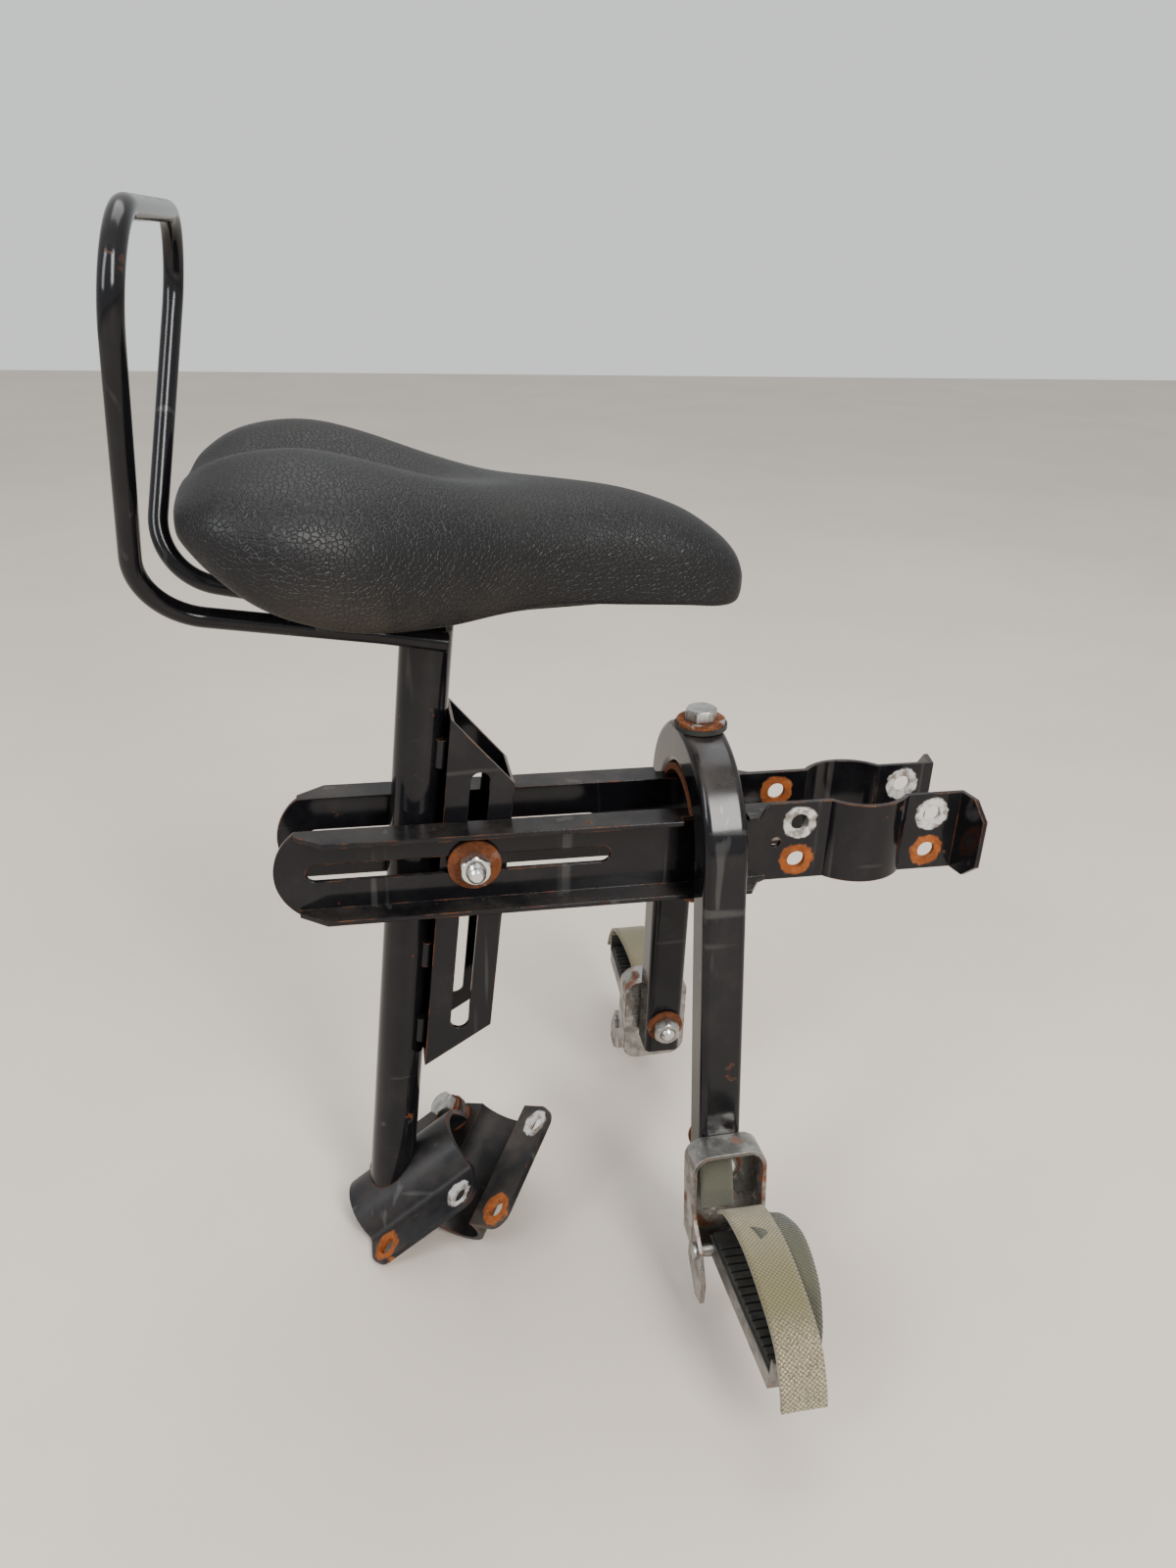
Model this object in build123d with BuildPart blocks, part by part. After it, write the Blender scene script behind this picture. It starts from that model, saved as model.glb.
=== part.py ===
# Child's bicycle seat: a saddle with a backrest hoop on a tubular post, which stands between
# two slotted arms. The arms clamp the bicycle's head tube and carry an arched footrest frame,
# and a two-part shell at the foot of the post clamps the down tube.
# Axes: X forward, Y left, Z up. Origin: middle of the overall box, at the floor. Millimetres.

from build123d import *
from math import cos, radians, sin, sqrt, tan
import os

os.makedirs("parts", exist_ok=True)

# Driving dimensions
bolt_x, bolt_z = -55.2, 219.0          # through bolt that joins the post to the arms
bolt_d = 8.0                           # every structural bolt is M8
bolt_clear = 8.5                       # plain hole for M8
running = 0.08                         # radial clearance of anything that turns on a bolt
face_gap = 0.1                         # clearance between faces that slide on each other
penny_od, washer_t = 24.0, 1.8         # large washers
nut_af, nut_h, head_h = 13.0, 6.5, 5.3
thread_out = 5.0                       # bolt end beyond its nut

# arms
arm_gap = 31.0                         # between the two webs
arm_h, arm_t = 40.0, 2.2
flange_w = 13.7
arm_rear, flange_front, arm_front = -86.5, 133.0, 233.0   # from the through bolt
rear_r = 25.0                          # of each arm's rounded rear end
slot_rear, slot_front, slot_h = -73.0, 62.0, 8.5
head_clamp_x, head_clamp_r = 185.0, 24.0
clamp_hole_x = (151.5, 217.5)
clamp_hole_z = (9.5, -10.0)
flare_w, flare_lean = 19.0, 3.8
flare_chamfer = 8.0
flange_fade, flange_nose, flange_tail, flange_lead = 8.0, 6.0, 12.0, 9.0   # tapers at the flange's ends
notch_l, notch_y = 30.0, 24.0          # top flange cut back under the footrest frame's arch
drain_hole_d, drain_hole_back = 5.0, 11.0

# seat post and its slotted bracket
post_lean = 5.3
post_od, post_wall = 22.2, 2.0
post_back = 26.1                       # axis behind the through bolt, at its height
seat_z = 324.0                         # top of the post
bracket_d, bracket_w, bracket_wall = 30.0, 30.0, 2.0
bracket_top, bracket_bottom = 67.0, -114.0                # rear edge, from the bolt
weld_d, weld_l, weld_y = 5.0, 13.0, 9.0
weld_in, weld_pitch = 18.0, 43.0       # from each end of the bracket, and between the two of a pair
slot_top, slot_bottom = 43.0, -92.0
mitre_top, mitre_bottom = 29.0, 24.0   # how much shorter the front edge is at each end
spacer_od = 12.0

# down tube clamp
tube_slope = 38.5
tube_r, shell_t = 17.0, 3.0
shell_l, shell_w, ear_pitch, ear_span = 66.0, 78.0, 47.0, 62.0
shell_x = -28.5                        # middle of the split face, from the through bolt
shell_gap = 6.0
shell_root_r, shell_corner_r = 3.0, 9.0
clamp_washer_r = 8.0
cap_open = 48.0

# saddle and hoop
plate_rear, plate_front = -44.0, -6.0  # from the through bolt
plate_w, plate_t = 22.0, 3.0
screw_x, screw_y = -36.0, 5.0          # behind the post
riser_w, riser_h = 21.0, 7.5           # block that lifts the saddle's base over the rods
rod_d = 8.0
saddle_rear, saddle_front = -104.0, 119.0                 # from the through bolt
base_t = 3.0
cover_gap = 0.4
screw_d, screw_af, screw_head_h = 5.0, 8.0, 3.5
# outline of the saddle's base: distance forward of the through bolt, half width
base_outline = ((-60.0, 40.0), (-12.0, 30.0), (24.0, 18.0), (60.0, 12.0))
hoop_foot, hoop_knee = (-9.0, 15.2, 320.9), (-34.0, 15.2, 325.2)        # from the bolt, half width, height
hoop_bend, hoop_top = (-125.3, 24.9, 340.7), (-106.5, 84.7, 475.1)
hoop_knee_r, hoop_bend_r, hoop_corner_r = 60.0, 27.0, 26.0

# footrest frame
tube_w, tube_t, tube_corner = 20.0, 2.0, 3.5
leg_x, leg_lean, leg_splay = 107.0, 1.8, 5.7
leg_clear = 0.8                        # between the arms' flanges and the legs
leg_inner = arm_gap / 2 + flange_w + leg_clear            # inner face of each leg from the middle
frame_top, leg_bottom = 272.0, 50.0
splay_y, splay_r = -6.0, 60.0           # bend between the arch and each leg, its height from the bolt
bridge_w, bridge_t = 20.0, 3.0
bridge_plate_l = 24.0
rubber_t = 2.0
under_gap = 2.6                        # the level washer stands off the leaning bolt's plate by this
foot_bolt_z = 71.0

# footrest brackets and pedals
cup_w, cup_h, cup_depth, cup_wall, cup_corner = 36.0, 58.0, 15.0, 2.0, 9.0
cup_below = 14.0                       # middle of the cup below its bolt
pin_d, pin_y, pin_z = 5.0, 88.0, 41.0
lug_out = 6.0                          # beyond the pin
tongue_out, tongue_tip_h = 13.0, 11.0  # beyond the pin
pedal_shift = 2.0                      # the pedal sits forward of the cup's middle
pedal_w_in, pedal_w_out, pedal_len, pedal_t, pedal_skirt = 24.0, 17.0, 71.0, 2.0, 9.0
pedal_lip = 9.0
dome_r, dome_h, dome_edge = 7.5, 4.4, 3.5
cup_washer_r = 9.0
pin_head_r, pin_head_h = 4.0, 1.6
tread_t, rib_count, rib_h, rib_w = 2.6, 14, 1.2, 2.2
strap_w, strap_t = 20.0, 1.8

# Shared places
web_in = arm_gap / 2
web_out = web_in + arm_t
flange_out = web_in + flange_w
leg_out = leg_inner + tube_w
leg_mid = leg_inner + tube_w / 2
nose_l = rear_r - sqrt(rear_r ** 2 - (arm_h / 2) ** 2)

up = Vector(sin(radians(post_lean)), 0, cos(radians(post_lean)))
fore = Vector(cos(radians(post_lean)), 0, -sin(radians(post_lean)))
bolt_point = Vector(bolt_x, 0, bolt_z)
post_side = Plane(origin=bolt_point, x_dir=fore, z_dir=(0, -1, 0))
post_axis = bolt_point - fore * post_back * cos(radians(post_lean))

tube_dir = Vector(cos(radians(tube_slope)), 0, sin(radians(tube_slope)))
tube_up = Vector(-sin(radians(tube_slope)), 0, cos(radians(tube_slope)))
shell_mid = Vector(bolt_x + shell_x, 0, shell_l / 2 * sin(radians(tube_slope)))
clamp_bolt_point = shell_mid + tube_dir * ear_pitch / 2 + Vector(0, ear_span / 2, 0)

leg_up = Vector(-sin(radians(leg_lean)), 0, cos(radians(leg_lean)))
leg_fore = Vector(cos(radians(leg_lean)), 0, sin(radians(leg_lean)))
frame_plane = Plane(origin=(bolt_x + leg_x, 0, bolt_z), x_dir=(0, 1, 0), z_dir=leg_fore)
crown_y = (frame_top - bolt_z) / cos(radians(leg_lean))
arch_y = crown_y - leg_out
pin_x = bolt_x + leg_x + (bolt_z - pin_z) * tan(radians(leg_lean))
foot_x = pin_x + pedal_shift
foot_bolt_y = (foot_bolt_z - bolt_z) / cos(radians(leg_lean))
leg_foot_y = (leg_bottom - bolt_z) / cos(radians(leg_lean)) - 6


def splayed(y):
    """Half width to the middle of a leg, at a height y in the frame's plane below the splay."""
    return leg_mid + (splay_y - y) * tan(radians(leg_splay))


def leg_side(side, out, rise=0.0):
    """Plane on a leg's side, facing outwards on the footrest bolt's line. out is as if the legs were parallel."""
    outward = Vector(0, side * cos(radians(leg_splay)), 0) + leg_up * sin(radians(leg_splay))
    centre = frame_plane.from_local_coords(Vector(side * splayed(foot_bolt_y), foot_bolt_y, 0))
    level = Plane(origin=centre + outward * (out - leg_mid), x_dir=leg_fore * -side, z_dir=outward)
    return Plane(origin=level.from_local_coords(Vector(0, rise, 0)), x_dir=leg_fore * -side, z_dir=outward)


def cup_at(out, z):
    """Distance from the middle of a cup's level out, at the height z."""
    return out + (bolt_z + splay_y - z) * tan(radians(leg_splay))


# Arms
def plan_point(x, y):
    return (bolt_x + x, -y)


with BuildPart() as arm_right:
    # web and strip: a band in plan, bulged round the head tube and turned out at the front
    with BuildSketch(Plane.XY.offset(bolt_z - arm_h / 2)):
        with Locations(plan_point((arm_rear + arm_front) / 2, (web_in + web_out) / 2)):
            Rectangle(arm_front - arm_rear, arm_t)
        with Locations(plan_point(head_clamp_x, 0)):
            Circle(head_clamp_r + arm_t)
            Circle(head_clamp_r, mode=Mode.SUBTRACT)
        with Locations(plan_point(head_clamp_x, web_in / 2 - head_clamp_r)):
            Rectangle(3 * head_clamp_r, web_in + 2 * head_clamp_r, mode=Mode.SUBTRACT)
        with BuildLine():
            Polyline(
                plan_point(arm_front - arm_t, web_in),
                plan_point(arm_front, web_in),
                plan_point(arm_front + flare_lean, web_in + flare_w),
                plan_point(arm_front + flare_lean - arm_t, web_in + flare_w),
                close=True,
            )
        make_face()
    extrude(amount=arm_h)
    # flanges along the channel part
    for z in (bolt_z - arm_h / 2, bolt_z + arm_h / 2 - arm_t):
        with BuildSketch(Plane.XY.offset(z)):
            with BuildLine():
                Polyline(
                    plan_point(arm_rear + nose_l, web_in),
                    plan_point(flange_front + flange_fade, web_in),
                    plan_point(flange_front, web_out + arm_t),
                    plan_point(flange_front - flange_nose, flange_out),
                    plan_point(arm_rear + nose_l + flange_tail, flange_out),
                    plan_point(arm_rear + nose_l, flange_out - flange_lead),
                    close=True,
                )
            make_face()
        extrude(amount=arm_t)
    # top flange cut back where the arch of the footrest frame comes down over it
    with BuildSketch(Plane.XY.offset(bolt_z + arm_h / 2 - arm_t)):
        with Locations(plan_point(leg_x, (notch_y + flange_out + 1) / 2)):
            Rectangle(notch_l, flange_out + 1 - notch_y)
    extrude(amount=arm_t, mode=Mode.SUBTRACT)
    # rounded rear end, seen from the side
    with BuildSketch(Plane.XZ.offset(web_in - 1)):
        with Locations((bolt_x + arm_rear + nose_l / 2, bolt_z)):
            Rectangle(nose_l, arm_h)
        with Locations((bolt_x + arm_rear + rear_r, bolt_z)):
            Circle(rear_r, mode=Mode.SUBTRACT)
    extrude(amount=flange_w + 2, mode=Mode.SUBTRACT)
    # slot for the through bolt
    slot_mid = bolt_x + (slot_rear + slot_front) / 2
    with BuildSketch(Plane.XZ.offset(web_in - 1)):
        with Locations((slot_mid, bolt_z)):
            SlotOverall(slot_front - slot_rear, slot_h)
        for x in clamp_hole_x:
            for z in clamp_hole_z:
                with Locations((bolt_x + x, bolt_z + z)):
                    Circle(bolt_clear / 2)
        with Locations((bolt_x + clamp_hole_x[0] - drain_hole_back, bolt_z)):
            Circle(drain_hole_d / 2)
    extrude(amount=arm_t + 2, mode=Mode.SUBTRACT)
    # chamfered corners of the flared front end
    flare_edges = arm_right.edges().filter_by(Axis.X).group_by(Axis.Y)[0]
    chamfer(flare_edges, flare_chamfer)
arm_right.part.label = "arm_right"
export_step(arm_right.part, "parts/arm_right.step")

with BuildPart() as arm_left:
    add(mirror(arm_right.part, about=Plane.XZ))
arm_left.part.label = "arm_left"
export_step(arm_left.part, "parts/arm_left.step")

# Seat post
with BuildPart() as seat_post:
    post_foot = post_axis - up * (bolt_z + 20)
    with BuildSketch(Plane(origin=post_foot, x_dir=fore, z_dir=up)):
        Circle(post_od / 2)
        Circle(post_od / 2 - post_wall, mode=Mode.SUBTRACT)
    extrude(amount=2 * seat_z)
    split(bisect_by=Plane.XY.offset(seat_z), keep=Keep.BOTTOM)
    # coped foot: it sits on the crown of the clamp shell
    split(bisect_by=Plane(origin=shell_mid, z_dir=tube_up), keep=Keep.TOP)
    with BuildSketch(Plane(origin=shell_mid - tube_dir * shell_l, x_dir=(0, 1, 0), z_dir=tube_dir)):
        Circle(tube_r + shell_t)
    extrude(amount=2 * shell_l, mode=Mode.SUBTRACT)
seat_post.part.label = "seat_post"
export_step(seat_post.part, "parts/seat_post.step")

# slotted height bracket, a square tube with mitred ends on the front of the post
bracket_rear = -post_back * cos(radians(post_lean)) + post_od / 2
with BuildPart() as height_bracket:
    with BuildSketch(post_side.offset(-bracket_w / 2)):
        with BuildLine():
            Polyline(
                (bracket_rear, bracket_top),
                (bracket_rear + bracket_d, bracket_top - mitre_top),
                (bracket_rear + bracket_d, bracket_bottom + mitre_bottom),
                (bracket_rear, bracket_bottom),
                close=True,
            )
        make_face()
    extrude(amount=bracket_w)
    with BuildSketch(post_side.offset(-bracket_w / 2 + bracket_wall)):
        with Locations((bracket_rear + bracket_d / 2, 0)):
            Rectangle(bracket_d - 2 * bracket_wall, 2 * (bracket_top - bracket_bottom))
    extrude(amount=bracket_w - 2 * bracket_wall, mode=Mode.SUBTRACT)
    with BuildSketch(post_side.offset(-bracket_w)):
        with Locations((0, (slot_top + slot_bottom) / 2)):
            SlotOverall(slot_top - slot_bottom, slot_h, rotation=90)
    extrude(amount=2 * bracket_w, mode=Mode.SUBTRACT)
height_bracket.part.label = "height_bracket"
export_step(height_bracket.part, "parts/height_bracket.step")

weld_heights = (
    bracket_top - weld_in,
    bracket_top - weld_in - weld_pitch,
    bracket_bottom + weld_in + weld_pitch,
    bracket_bottom + weld_in,
)
with BuildPart() as post_welds:
    for side in (-1, 1):
        for height in weld_heights:
            weld_at = bolt_point + fore * (bracket_rear - weld_d / 2) + up * height + Vector(0, side * weld_y, 0)
            with BuildSketch(Plane(origin=weld_at, x_dir=fore, z_dir=up)):
                Circle(weld_d / 2)
            extrude(amount=weld_l / 2, both=True)
    add(seat_post.part, mode=Mode.SUBTRACT)
    add(height_bracket.part, mode=Mode.SUBTRACT)
post_welds.part.label = "post_welds"
export_step(post_welds.part, "parts/post_welds.step")

# Through bolt group
washer_face = web_out + face_gap
with BuildPart() as through_washers:
    for side in (-1, 1):
        with BuildSketch(Plane(origin=(bolt_x, side * washer_face, bolt_z), z_dir=(0, side, 0))):
            Circle(penny_od / 2)
            Circle(bolt_clear / 2, mode=Mode.SUBTRACT)
        extrude(amount=washer_t)
through_washers.part.label = "through_washers"
export_step(through_washers.part, "parts/through_washers.step")

through_face = washer_face + washer_t
with BuildPart() as through_bolt:
    with BuildSketch(Plane(origin=(bolt_x, through_face, bolt_z), z_dir=(0, 1, 0))):
        RegularPolygon(nut_af / 2, 6, major_radius=False)
    extrude(amount=head_h)
    with BuildSketch(Plane(origin=(bolt_x, through_face, bolt_z), z_dir=(0, -1, 0))):
        Circle(bolt_d / 2)
    extrude(amount=2 * through_face + nut_h + thread_out)
    chamfer(through_bolt.edges().sort_by(Axis.Y)[0], 0.8)
through_bolt.part.label = "through_bolt"
export_step(through_bolt.part, "parts/through_bolt.step")

with BuildPart() as through_nut:
    with BuildSketch(Plane(origin=(bolt_x, -through_face, bolt_z), z_dir=(0, -1, 0))):
        RegularPolygon(nut_af / 2, 6, major_radius=False)
        Circle(bolt_d / 2, mode=Mode.SUBTRACT)
    extrude(amount=nut_h)
through_nut.part.label = "through_nut"
export_step(through_nut.part, "parts/through_nut.step")

# spacer tube on the bolt inside the bracket, which stops the bracket from being crushed
spacer_l = bracket_w - 2 * bracket_wall - 4 * face_gap
with BuildPart() as spacer_tube:
    with BuildSketch(Plane(origin=(bolt_x, -spacer_l / 2, bolt_z), z_dir=(0, 1, 0))):
        Circle(spacer_od / 2)
        Circle(bolt_d / 2 + running, mode=Mode.SUBTRACT)
    extrude(amount=spacer_l)
spacer_tube.part.label = "spacer_tube"
export_step(spacer_tube.part, "parts/spacer_tube.step")


# Down tube clamp
def clamp_shell(plane):
    """Pressed half shell with two ears: split face on the plane, tube along its normal."""
    with BuildPart() as shell:
        with BuildSketch(plane.offset(-shell_l / 2)):
            Circle(tube_r + shell_t)
            with Locations((0, shell_t / 2)):
                Rectangle(shell_w, shell_t)
            Circle(tube_r, mode=Mode.SUBTRACT)
            with Locations((0, -shell_w / 2)):
                Rectangle(2 * shell_w, shell_w, mode=Mode.SUBTRACT)
        extrude(amount=shell_l)
        rise = sqrt((tube_r + shell_t) ** 2 - shell_t ** 2)
        root_at = [plane.to_local_coords(edge.center()) for edge in shell.edges()]
        roots = [
            edge
            for edge, at in zip(shell.edges(), root_at)
            if abs(abs(at.X) - rise) < 0.01 and abs(at.Y - shell_t) < 0.01 and abs(at.Z) < 0.01
        ]
        fillet(roots, shell_root_r)
        corners = [
            edge
            for edge in shell.edges()
            if abs(abs(plane.to_local_coords(edge.center()).X) - shell_w / 2) < 0.01
            and abs(edge.length - shell_t) < 0.01
        ]
        fillet(corners, shell_corner_r)
        for x in (-ear_span / 2, ear_span / 2):
            for z in (-ear_pitch / 2, ear_pitch / 2):
                centre = plane.from_local_coords(Vector(x, -1, z))
                with BuildSketch(Plane(origin=centre, z_dir=plane.y_dir)):
                    Circle(bolt_d / 2 + running)
                extrude(amount=shell_t + 2, mode=Mode.SUBTRACT)
    return shell.part


with BuildPart() as tube_saddle:
    add(clamp_shell(Plane(origin=shell_mid, x_dir=(0, 1, 0), z_dir=tube_dir)))
tube_saddle.part.label = "tube_saddle"
export_step(tube_saddle.part, "parts/tube_saddle.step")

# the cap hangs on one bolt and is swung out sideways about it
swing = radians(cap_open)
side_dir = Vector(0, 1, 0)
cap_along = tube_dir * cos(swing) + side_dir * sin(swing)
cap_across = side_dir * cos(swing) - tube_dir * sin(swing)
cap_mid = (clamp_bolt_point - tube_up * shell_gap
           - cap_along * ear_pitch / 2 - cap_across * ear_span / 2)
with BuildPart() as tube_cap:
    add(clamp_shell(Plane(origin=cap_mid, x_dir=cap_across, z_dir=cap_along * -1)))
tube_cap.part.label = "tube_cap"
export_step(tube_cap.part, "parts/tube_cap.step")

spread = (shell_gap - face_gap) / 2
below = shell_gap + shell_t + face_gap
with BuildPart() as clamp_washers:
    for start, thick in ((shell_t, washer_t), (-spread, spread), (-2 * spread, spread), (-below - washer_t, washer_t)):
        with BuildSketch(Plane(origin=clamp_bolt_point + tube_up * start, z_dir=tube_up)):
            Circle(clamp_washer_r)
            Circle(bolt_d / 2 + running, mode=Mode.SUBTRACT)
        extrude(amount=thick)
clamp_washers.part.label = "clamp_washers"
export_step(clamp_washers.part, "parts/clamp_washers.step")

clamp_head = clamp_bolt_point + tube_up * (shell_t + washer_t)
with BuildPart() as clamp_bolt:
    with BuildSketch(Plane(origin=clamp_head, z_dir=tube_up)):
        RegularPolygon(nut_af / 2, 6, major_radius=False)
    extrude(amount=head_h)
    with BuildSketch(Plane(origin=clamp_head, z_dir=tube_up * -1)):
        Circle(bolt_d / 2)
    extrude(amount=shell_t + 2 * washer_t + below + nut_h + thread_out / 3)
clamp_bolt.part.label = "clamp_bolt"
export_step(clamp_bolt.part, "parts/clamp_bolt.step")

with BuildPart() as clamp_nut:
    nut_at = clamp_bolt_point - tube_up * (below + washer_t)
    with BuildSketch(Plane(origin=nut_at, z_dir=tube_up * -1)):
        RegularPolygon(nut_af / 2, 6, major_radius=False)
        Circle(bolt_d / 2, mode=Mode.SUBTRACT)
    extrude(amount=nut_h)
clamp_nut.part.label = "clamp_nut"
export_step(clamp_nut.part, "parts/clamp_nut.step")

# Seat plate, hoop and saddle
with BuildPart() as seat_plate:
    with BuildSketch(Plane(origin=(bolt_x, 0, seat_z))):
        with Locations(((plate_rear + plate_front) / 2, 0)):
            RectangleRounded(plate_front - plate_rear, plate_w, 4)
        with Locations((screw_x, -screw_y), (screw_x, screw_y)):
            Circle(screw_d / 2 + 0.25, mode=Mode.SUBTRACT)
    extrude(amount=plate_t)
seat_plate.part.label = "seat_plate"
export_step(seat_plate.part, "parts/seat_plate.step")

hoop_half = [hoop_foot, hoop_knee, hoop_bend, hoop_top]
hoop_points = [(bolt_x + x, -y, z) for x, y, z in hoop_half]
hoop_points += [(bolt_x + x, y, z) for x, y, z in reversed(hoop_half)]
hoop_radii = [hoop_knee_r, hoop_bend_r, hoop_corner_r, hoop_corner_r, hoop_bend_r, hoop_knee_r]
with BuildPart() as backrest_hoop:
    with BuildLine() as hoop_line:
        FilletPolyline(*hoop_points, radius=hoop_radii)
    with BuildSketch(Plane(origin=hoop_line.line @ 0, z_dir=hoop_line.line % 0)):
        Circle(rod_d / 2)
    sweep()
backrest_hoop.part.label = "backrest_hoop"
export_step(backrest_hoop.part, "parts/backrest_hoop.step")

riser_z = seat_z + plate_t
base_z = riser_z + riser_h
base_side = [(bolt_x + x, half) for x, half in base_outline]
with BuildPart() as saddle_base:
    with BuildSketch(Plane.XY.offset(base_z)):
        with BuildLine():
            Polyline(
                *base_side,
                *[(x, -y) for x, y in reversed(base_side)],
                close=True,
            )
        make_face()
    extrude(amount=base_t)
    fillet(saddle_base.edges().filter_by(Axis.Z), 5)
    with BuildSketch(Plane(origin=(bolt_x, 0, riser_z))):
        with Locations(((plate_rear + plate_front) / 2, 0)):
            RectangleRounded(plate_front - plate_rear, riser_w, 3)
    extrude(amount=riser_h)
    with BuildSketch(Plane(origin=(bolt_x, 0, riser_z))):
        with Locations((screw_x, -screw_y), (screw_x, screw_y)):
            Circle(screw_d / 2)
    extrude(amount=riser_h + base_t, mode=Mode.SUBTRACT)
saddle_base.part.label = "saddle_base"
export_step(saddle_base.part, "parts/saddle_base.step")

with BuildPart() as saddle_screws:
    with BuildSketch(Plane(origin=(bolt_x, 0, seat_z))):
        with Locations((screw_x, -screw_y), (screw_x, screw_y)):
            RegularPolygon(screw_af / 2, 6, major_radius=False)
    extrude(amount=-screw_head_h)
    with BuildSketch(Plane(origin=(bolt_x, 0, seat_z))):
        with Locations((screw_x, -screw_y), (screw_x, screw_y)):
            Circle(screw_d / 2)
    extrude(amount=base_z + base_t - seat_z)
saddle_screws.part.label = "saddle_screws"
export_step(saddle_screws.part, "parts/saddle_screws.step")

# padded cover: one closed body lofted through cross-sections
# (x, half width, bottom, top of the lobes, depth of the groove between them)
cover_z = base_z + base_t + cover_gap
cover_sections = (
    (saddle_rear + 2, 56.0, cover_z + 34, cover_z + 50, 4.0),
    (saddle_rear + 14, 72.0, cover_z + 25, cover_z + 62, 9.0),
    (saddle_rear + 34, 76.5, cover_z + 13, cover_z + 66, 14.0),
    (saddle_rear + 62, 71.0, cover_z + 6, cover_z + 62, 12.0),
    (saddle_rear + 92, 54.0, cover_z + 3, cover_z + 54, 6.0),
    (saddle_rear + 128, 36.0, cover_z + 1.5, cover_z + 47, 1.0),
    (saddle_rear + 168, 26.0, cover_z + 1, cover_z + 39.5, 0.0),
    (saddle_rear + 204, 19.0, cover_z - 3, cover_z + 27, 0.0),
    (saddle_front - 2, 9.0, cover_z, cover_z + 13, 0.0),
)
with BuildPart() as saddle_cover:
    for x, half, low, high, groove in cover_sections:
        with BuildSketch(Plane(origin=(bolt_x + x, 0, 0), x_dir=(0, 1, 0), z_dir=(1, 0, 0))):
            with BuildLine():
                shoulder = low + 0.38 * (high - low)
                lobe = high - 0.1 * (high - low) * (1 - groove / 12)
                Line((-half * 0.86, low), (half * 0.86, low))
                Spline((half * 0.86, low), (half, shoulder), (half * 0.6, lobe),
                       (0, high - groove), (-half * 0.6, lobe), (-half, shoulder),
                       (-half * 0.86, low))
            make_face()
    loft()
saddle_cover.part.label = "saddle_cover"
export_step(saddle_cover.part, "parts/saddle_cover.step")

# Footrest frame
with BuildPart() as footrest_frame:
    foot_half = splayed(leg_foot_y)
    with BuildLine(frame_plane) as frame_line:
        FilletPolyline((-foot_half, leg_foot_y), (-leg_mid, splay_y), (-leg_mid, arch_y), radius=splay_r)
        ThreePointArc((-leg_mid, arch_y), (0, arch_y + leg_mid), (leg_mid, arch_y))
        FilletPolyline((leg_mid, arch_y), (leg_mid, splay_y), (foot_half, leg_foot_y), radius=splay_r)
    with BuildSketch(Plane(origin=frame_line.line @ 0, x_dir=leg_fore, z_dir=frame_line.line % 0)):
        RectangleRounded(tube_w, tube_w, tube_corner)
        RectangleRounded(tube_w - 2 * tube_t, tube_w - 2 * tube_t, tube_corner - tube_t, mode=Mode.SUBTRACT)
    sweep()
    # level feet, a bolt hole down through the crown and one across each leg
    split(bisect_by=Plane.XY.offset(leg_bottom), keep=Keep.TOP)
    crown_top = frame_plane.from_local_coords(Vector(0, crown_y, 0))
    with BuildSketch(Plane(origin=crown_top + leg_up * 5, z_dir=leg_up * -1)):
        Circle(bolt_clear / 2)
    extrude(amount=tube_w + 10, mode=Mode.SUBTRACT)
    for side in (-1, 1):
        with BuildSketch(leg_side(side, leg_out + 5)):
            Circle(bolt_d / 2 + running)
        extrude(amount=-tube_w - 10, mode=Mode.SUBTRACT)
footrest_frame.part.label = "footrest_frame"
export_step(footrest_frame.part, "parts/footrest_frame.step")

# bridge: a bent flat bar nested under the crown, standing on both arms
bridge_out = leg_inner - face_gap
with BuildPart() as bridge_strap:
    with BuildSketch(frame_plane.offset(-bridge_w / 2)):
        with Locations((0, arch_y)):
            Circle(bridge_out)
            Circle(bridge_out - bridge_t, mode=Mode.SUBTRACT)
    extrude(amount=bridge_w)
    split(bisect_by=Plane.XY.offset(bolt_z + arm_h / 2), keep=Keep.TOP)
    with BuildSketch(Plane(origin=crown_top, z_dir=leg_up * -1)):
        Circle(bolt_clear / 2)
    extrude(amount=tube_w + 2 * leg_inner, mode=Mode.SUBTRACT)
bridge_strap.part.label = "bridge_strap"
export_step(bridge_strap.part, "parts/bridge_strap.step")

plate_under = bolt_z - arm_h / 2 - bridge_t
under_at = crown_top - leg_up * ((crown_top.Z - plate_under) / leg_up.Z)
with BuildPart() as bridge_plate:
    with BuildSketch(Plane(origin=(under_at.X, 0, plate_under))):
        RectangleRounded(bridge_plate_l, 2 * (leg_inner - 2), 4)
    extrude(amount=bridge_t)
    with BuildSketch(Plane(origin=crown_top, z_dir=leg_up * -1)):
        Circle(bolt_clear / 2)
    extrude(amount=crown_y + arm_h, mode=Mode.SUBTRACT)
bridge_plate.part.label = "bridge_plate"
export_step(bridge_plate.part, "parts/bridge_plate.step")

with BuildPart() as frame_rubber:
    with BuildSketch(Plane(origin=crown_top, z_dir=leg_up)):
        Circle(penny_od / 2)
        Circle(bolt_clear / 2, mode=Mode.SUBTRACT)
    extrude(amount=rubber_t)
frame_rubber.part.label = "frame_rubber"
export_step(frame_rubber.part, "parts/frame_rubber.step")

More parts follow.
